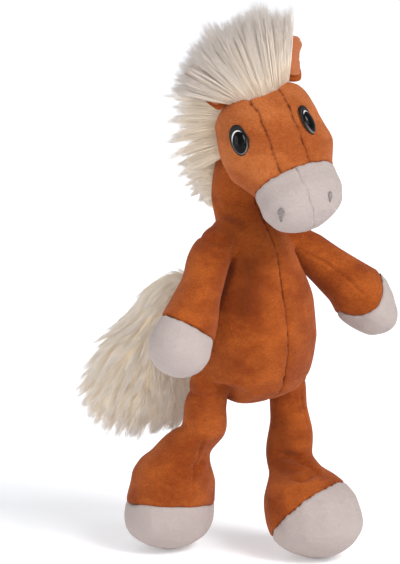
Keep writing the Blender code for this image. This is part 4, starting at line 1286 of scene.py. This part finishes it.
class HORSE_OT_mane(bpy.types.Operator):
    """Grows the fur down the back of the head and neck"""

    bl_idname = "horse.mane"
    bl_label = "Mane"

    def execute(self, context):
        look = fur_settings()
        chance = np.random.default_rng(21)
        left, back, crown = head_ways()
        count = look.strand_count
        rows = []
        for _ in range(count * 2 // 3):
            turn = math.radians(-62 + 96 * chance.uniform(0.0, 1.0))
            rise = chance.uniform(-0.3, 1.0)
            out = left * math.sin(turn) + back * math.cos(turn)
            start = SKULL + crown * (0.034 * rise) * 0.8 + out * 0.08
            reach = look.mane_length * (0.72 + 0.28 * abs(math.sin(turn)))
            rows.append((start, out, out + crown * (0.55 * rise - 0.05), reach))
        tufts = [
            rooted(solid_tree("head_filling"), rows),
            filled_out("head_mane", count // 3, SKULL, 0.5, chance),
        ]
        thing = lay_fur("mane_fur", tufts, droop=0.08, keys=360, pull=0.72, spread=0.006, seed=22)
        underfur(thing, "head_mane", inside=0.004, shrink=0.86, middle=SKULL)
        finish_piece(thing, "tail fur", "head", "head_mane")
        low, high = (np.array(corner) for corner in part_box("neck_mane"))
        middle = (low + high) / 2
        rows = []
        for _ in range(count // 4):
            turn = math.radians(40) * chance.uniform(-1.0, 1.0)
            z = chance.uniform(low[2] + 0.004, high[2] - 0.002)
            out = np.array([math.sin(turn), math.cos(turn), 0.0])
            start = np.array([middle[0], SKULL[1] + 0.024, z]) + out * 0.08
            reach = 0.030 * (1 - 0.25 * abs(math.sin(turn))) * (0.4 + 0.6 * (z - low[2]) / (high[2] - low[2]))
            rows.append((start, out, out + np.array([0, 0, -0.15]), reach))
        tufts = [
            rooted(solid_tree("trunk_filling"), rows),
            filled_out("neck_mane", count // 3, middle - np.array([0.0, 0.016, 0.0]), 0.6, chance),
        ]
        thing = lay_fur("neck_fur", tufts, droop=0.12, keys=150, pull=0.75, spread=0.006, seed=24)
        set_places(thing, nudged(places(thing), NECK_FUR_NUDGES))
        neck = SKULL - np.array([0, 0, 0.07])
        underfur(thing, "neck_mane", inside=0.006, shrink=0.80, middle=neck, nudges=NECK_FUR_NUDGES)
        finish_piece(thing, "tail fur", "trunk", "neck_mane")
        return {"FINISHED"}


# The tail's middle line and its radius at each point
TAIL_PATH = SHIFT + np.array(
    [
        [0.0, 0.0345, 0.153],
        [-0.008, 0.0485, 0.157],
        [-0.018, 0.059, 0.148],
        [-0.026, 0.071, 0.125],
        [-0.029, 0.080, 0.099],
    ]
)
TAIL_STEPS = 60


def along_tail(share):
    """A place on the tail's middle line."""
    last = len(TAIL_PATH) - 1
    index = min(int(share * last), last - 1)
    part = share * last - index
    return TAIL_PATH[index] * (1 - part) + TAIL_PATH[index + 1] * part


class HORSE_OT_tail(bpy.types.Operator):
    """Grows the plume of the tail"""

    bl_idname = "horse.tail"
    bl_label = "Tail"

    def execute(self, context):
        chance = np.random.default_rng(31)
        count = fur_settings().strand_count
        ends, ways = solid_points("tail", count, chance)
        line = np.array([along_tail(step / TAIL_STEPS) for step in range(TAIL_STEPS + 1)])
        nearest = np.array([np.argmin(np.linalg.norm(line - end, axis=1)) for end in ends])
        flow = line[np.minimum(nearest + 3, TAIL_STEPS)] - line[np.maximum(nearest - 3, 0)]
        flow /= np.linalg.norm(flow, axis=1)[:, None]
        past = np.clip((nearest - 40) / 20, 0.0, 1.0)[:, None]
        flow = flow + ways * (0.50 + 0.30 * past) + np.array([-0.14, 0.06, -0.10]) * past
        flow /= np.linalg.norm(flow, axis=1)[:, None]
        lengths = 0.021 * chance.uniform(0.7, 1.1, count)[:, None]
        starts = ends - ways * (0.0045 + 0.002 * chance.uniform(0.0, 1.0, (count, 1)))
        middles = starts + ways * 0.0035 + chance.normal(size=(count, 3)) * 0.0007
        bases, tips = starts - flow * lengths * 0.55, starts + flow * lengths * 0.85
        thing = combed("tail_fur", bases, middles, tips, keys=340, pull=0.75, spread=0.005, chance=chance)
        set_places(thing, nudged(places(thing), TAIL_NUDGES))
        balls = ((TAIL_PATH[0], 0.0112), ((TAIL_PATH[0] + TAIL_PATH[1]) / 2, 0.0112), (TAIL_PATH[1], 0.0118))
        underfur(
            thing, "tail", inside=0.0048, shrink=1.0, middle=TAIL_PATH[2], nudges=TAIL_NUDGES, balls=balls
        )
        finish_piece(thing, "tail fur", "tail", "tail")
        return {"FINISHED"}


# Stage


def add_lamp(kind, name, power, place, toward):
    """Adds a lamp that shines from a place toward another, and returns its data."""
    data = bpy.data.lights.new(name, kind)
    data.energy = power
    lamp = new_object(name, data)
    lamp.location = Vector(place)
    lamp.rotation_euler = (Vector(toward) - Vector(place)).to_track_quat("-Z", "Y").to_euler()
    return data


class HORSE_OT_stage(bpy.types.Operator):
    """Sets the pale floor, the soft lights and the camera"""

    bl_idname = "horse.stage"
    bl_label = "Stage"

    def execute(self, context):
        scene = context.scene
        bpy.ops.mesh.primitive_plane_add(size=14.0, location=(0, 0, -0.0002))
        floor = context.object
        floor.name = "floor"
        new_material("floor", 0.8, 0.1, Base_Color=(0.90, 0.90, 0.92), Emission_Strength=0.235)
        floor.data.materials.append(bpy.data.materials["floor"])
        scene.world = bpy.data.worlds.new("studio")
        scene.world.use_nodes = True
        tree = scene.world.node_tree
        seen = node_at(tree, "LightPath").outputs["Is Camera Ray"]
        colour = mixed(tree, seen, (0.94, 0.965, 1.0), (1.0, 1.0, 1.0))
        feed(tree, tree.nodes["Background"], Strength=ranged(tree, seen, 0.0, 1.0, 0.50, 1.05), Color=colour)
        camera = new_object("camera", bpy.data.cameras.new("camera"))
        camera.location = Vector(CAMERA_PLACE)
        camera.rotation_euler = Vector(-TOWARD).to_track_quat("-Z", "Y").to_euler()
        camera.data.sensor_width = SENSOR
        camera.data.lens = SENSOR * CAMERA_DISTANCE / (PICTURE_TALL * METRES_PER_PIXEL)
        scene.camera = camera
        sun = add_lamp("SUN", "sun", 1.9, RIGHT * 0.68 + FRONT * 0.58 + np.array([0, 0, 0.75]), (0, 0, 0))
        sun.angle = math.radians(24)
        for name, right, front, rise, power, size in (
            ("front", 0.8, 1.0, 0.9, 6.0, 0.8),
            ("low", 0.2, 1.3, 0.10, 2.2, 0.9),
            ("side", -1.1, 0.7, 0.45, 5.0, 0.8),
            ("rear", -0.6, -1.3, 0.9, 5.0, 1.0),
        ):
            place = RIGHT * right + FRONT * front + np.array([0, 0, rise])
            add_lamp("AREA", name, power, place, (0, 0, 0.15)).size = size
        scene.view_settings.view_transform = "Standard"
        return {"FINISHED"}


class HORSE_PT_panel(bpy.types.Panel):
    """Shows the horse's settings and a button for each of its steps"""

    bl_idname = "HORSE_PT_panel"
    bl_label = "Plush horse"
    bl_space_type = "VIEW_3D"
    bl_region_type = "UI"
    bl_category = "Plush horse"

    def draw(self, context):
        layout = self.layout
        for group in (settings(), fur_settings()):
            for name in group.__annotations__:
                layout.prop(group, name)
        for step in STEPS:
            layout.operator(step.bl_idname)


STEPS = (
    HORSE_OT_materials,
    HORSE_OT_stuffing,
    HORSE_OT_trunk,
    HORSE_OT_head,
    HORSE_OT_limbs,
    HORSE_OT_ears,
    HORSE_OT_eyes,
    HORSE_OT_nostrils,
    HORSE_OT_forelock,
    HORSE_OT_mane,
    HORSE_OT_tail,
    HORSE_OT_stage,
)


def register():
    for kind in (PlushSettings, FurSettings, *STEPS, HORSE_PT_panel):
        bpy.utils.register_class(kind)
    bpy.types.Scene.plush_horse = bpy.props.PointerProperty(type=PlushSettings)
    bpy.types.Scene.plush_horse_fur = bpy.props.PointerProperty(type=FurSettings)


def unregister():
    del bpy.types.Scene.plush_horse
    del bpy.types.Scene.plush_horse_fur
    for kind in reversed((PlushSettings, FurSettings, *STEPS, HORSE_PT_panel)):
        bpy.utils.unregister_class(kind)


def main():
    register()
    bpy.ops.horse.materials()
    bpy.ops.horse.stuffing()
    bpy.ops.horse.trunk()
    bpy.ops.horse.head()
    bpy.ops.horse.limbs()
    bpy.ops.horse.ears()
    bpy.ops.horse.eyes()
    bpy.ops.horse.nostrils()
    bpy.ops.horse.forelock()
    bpy.ops.horse.mane()
    bpy.ops.horse.tail()
    bpy.ops.horse.stage()


if __name__ == "__main__":
    main()
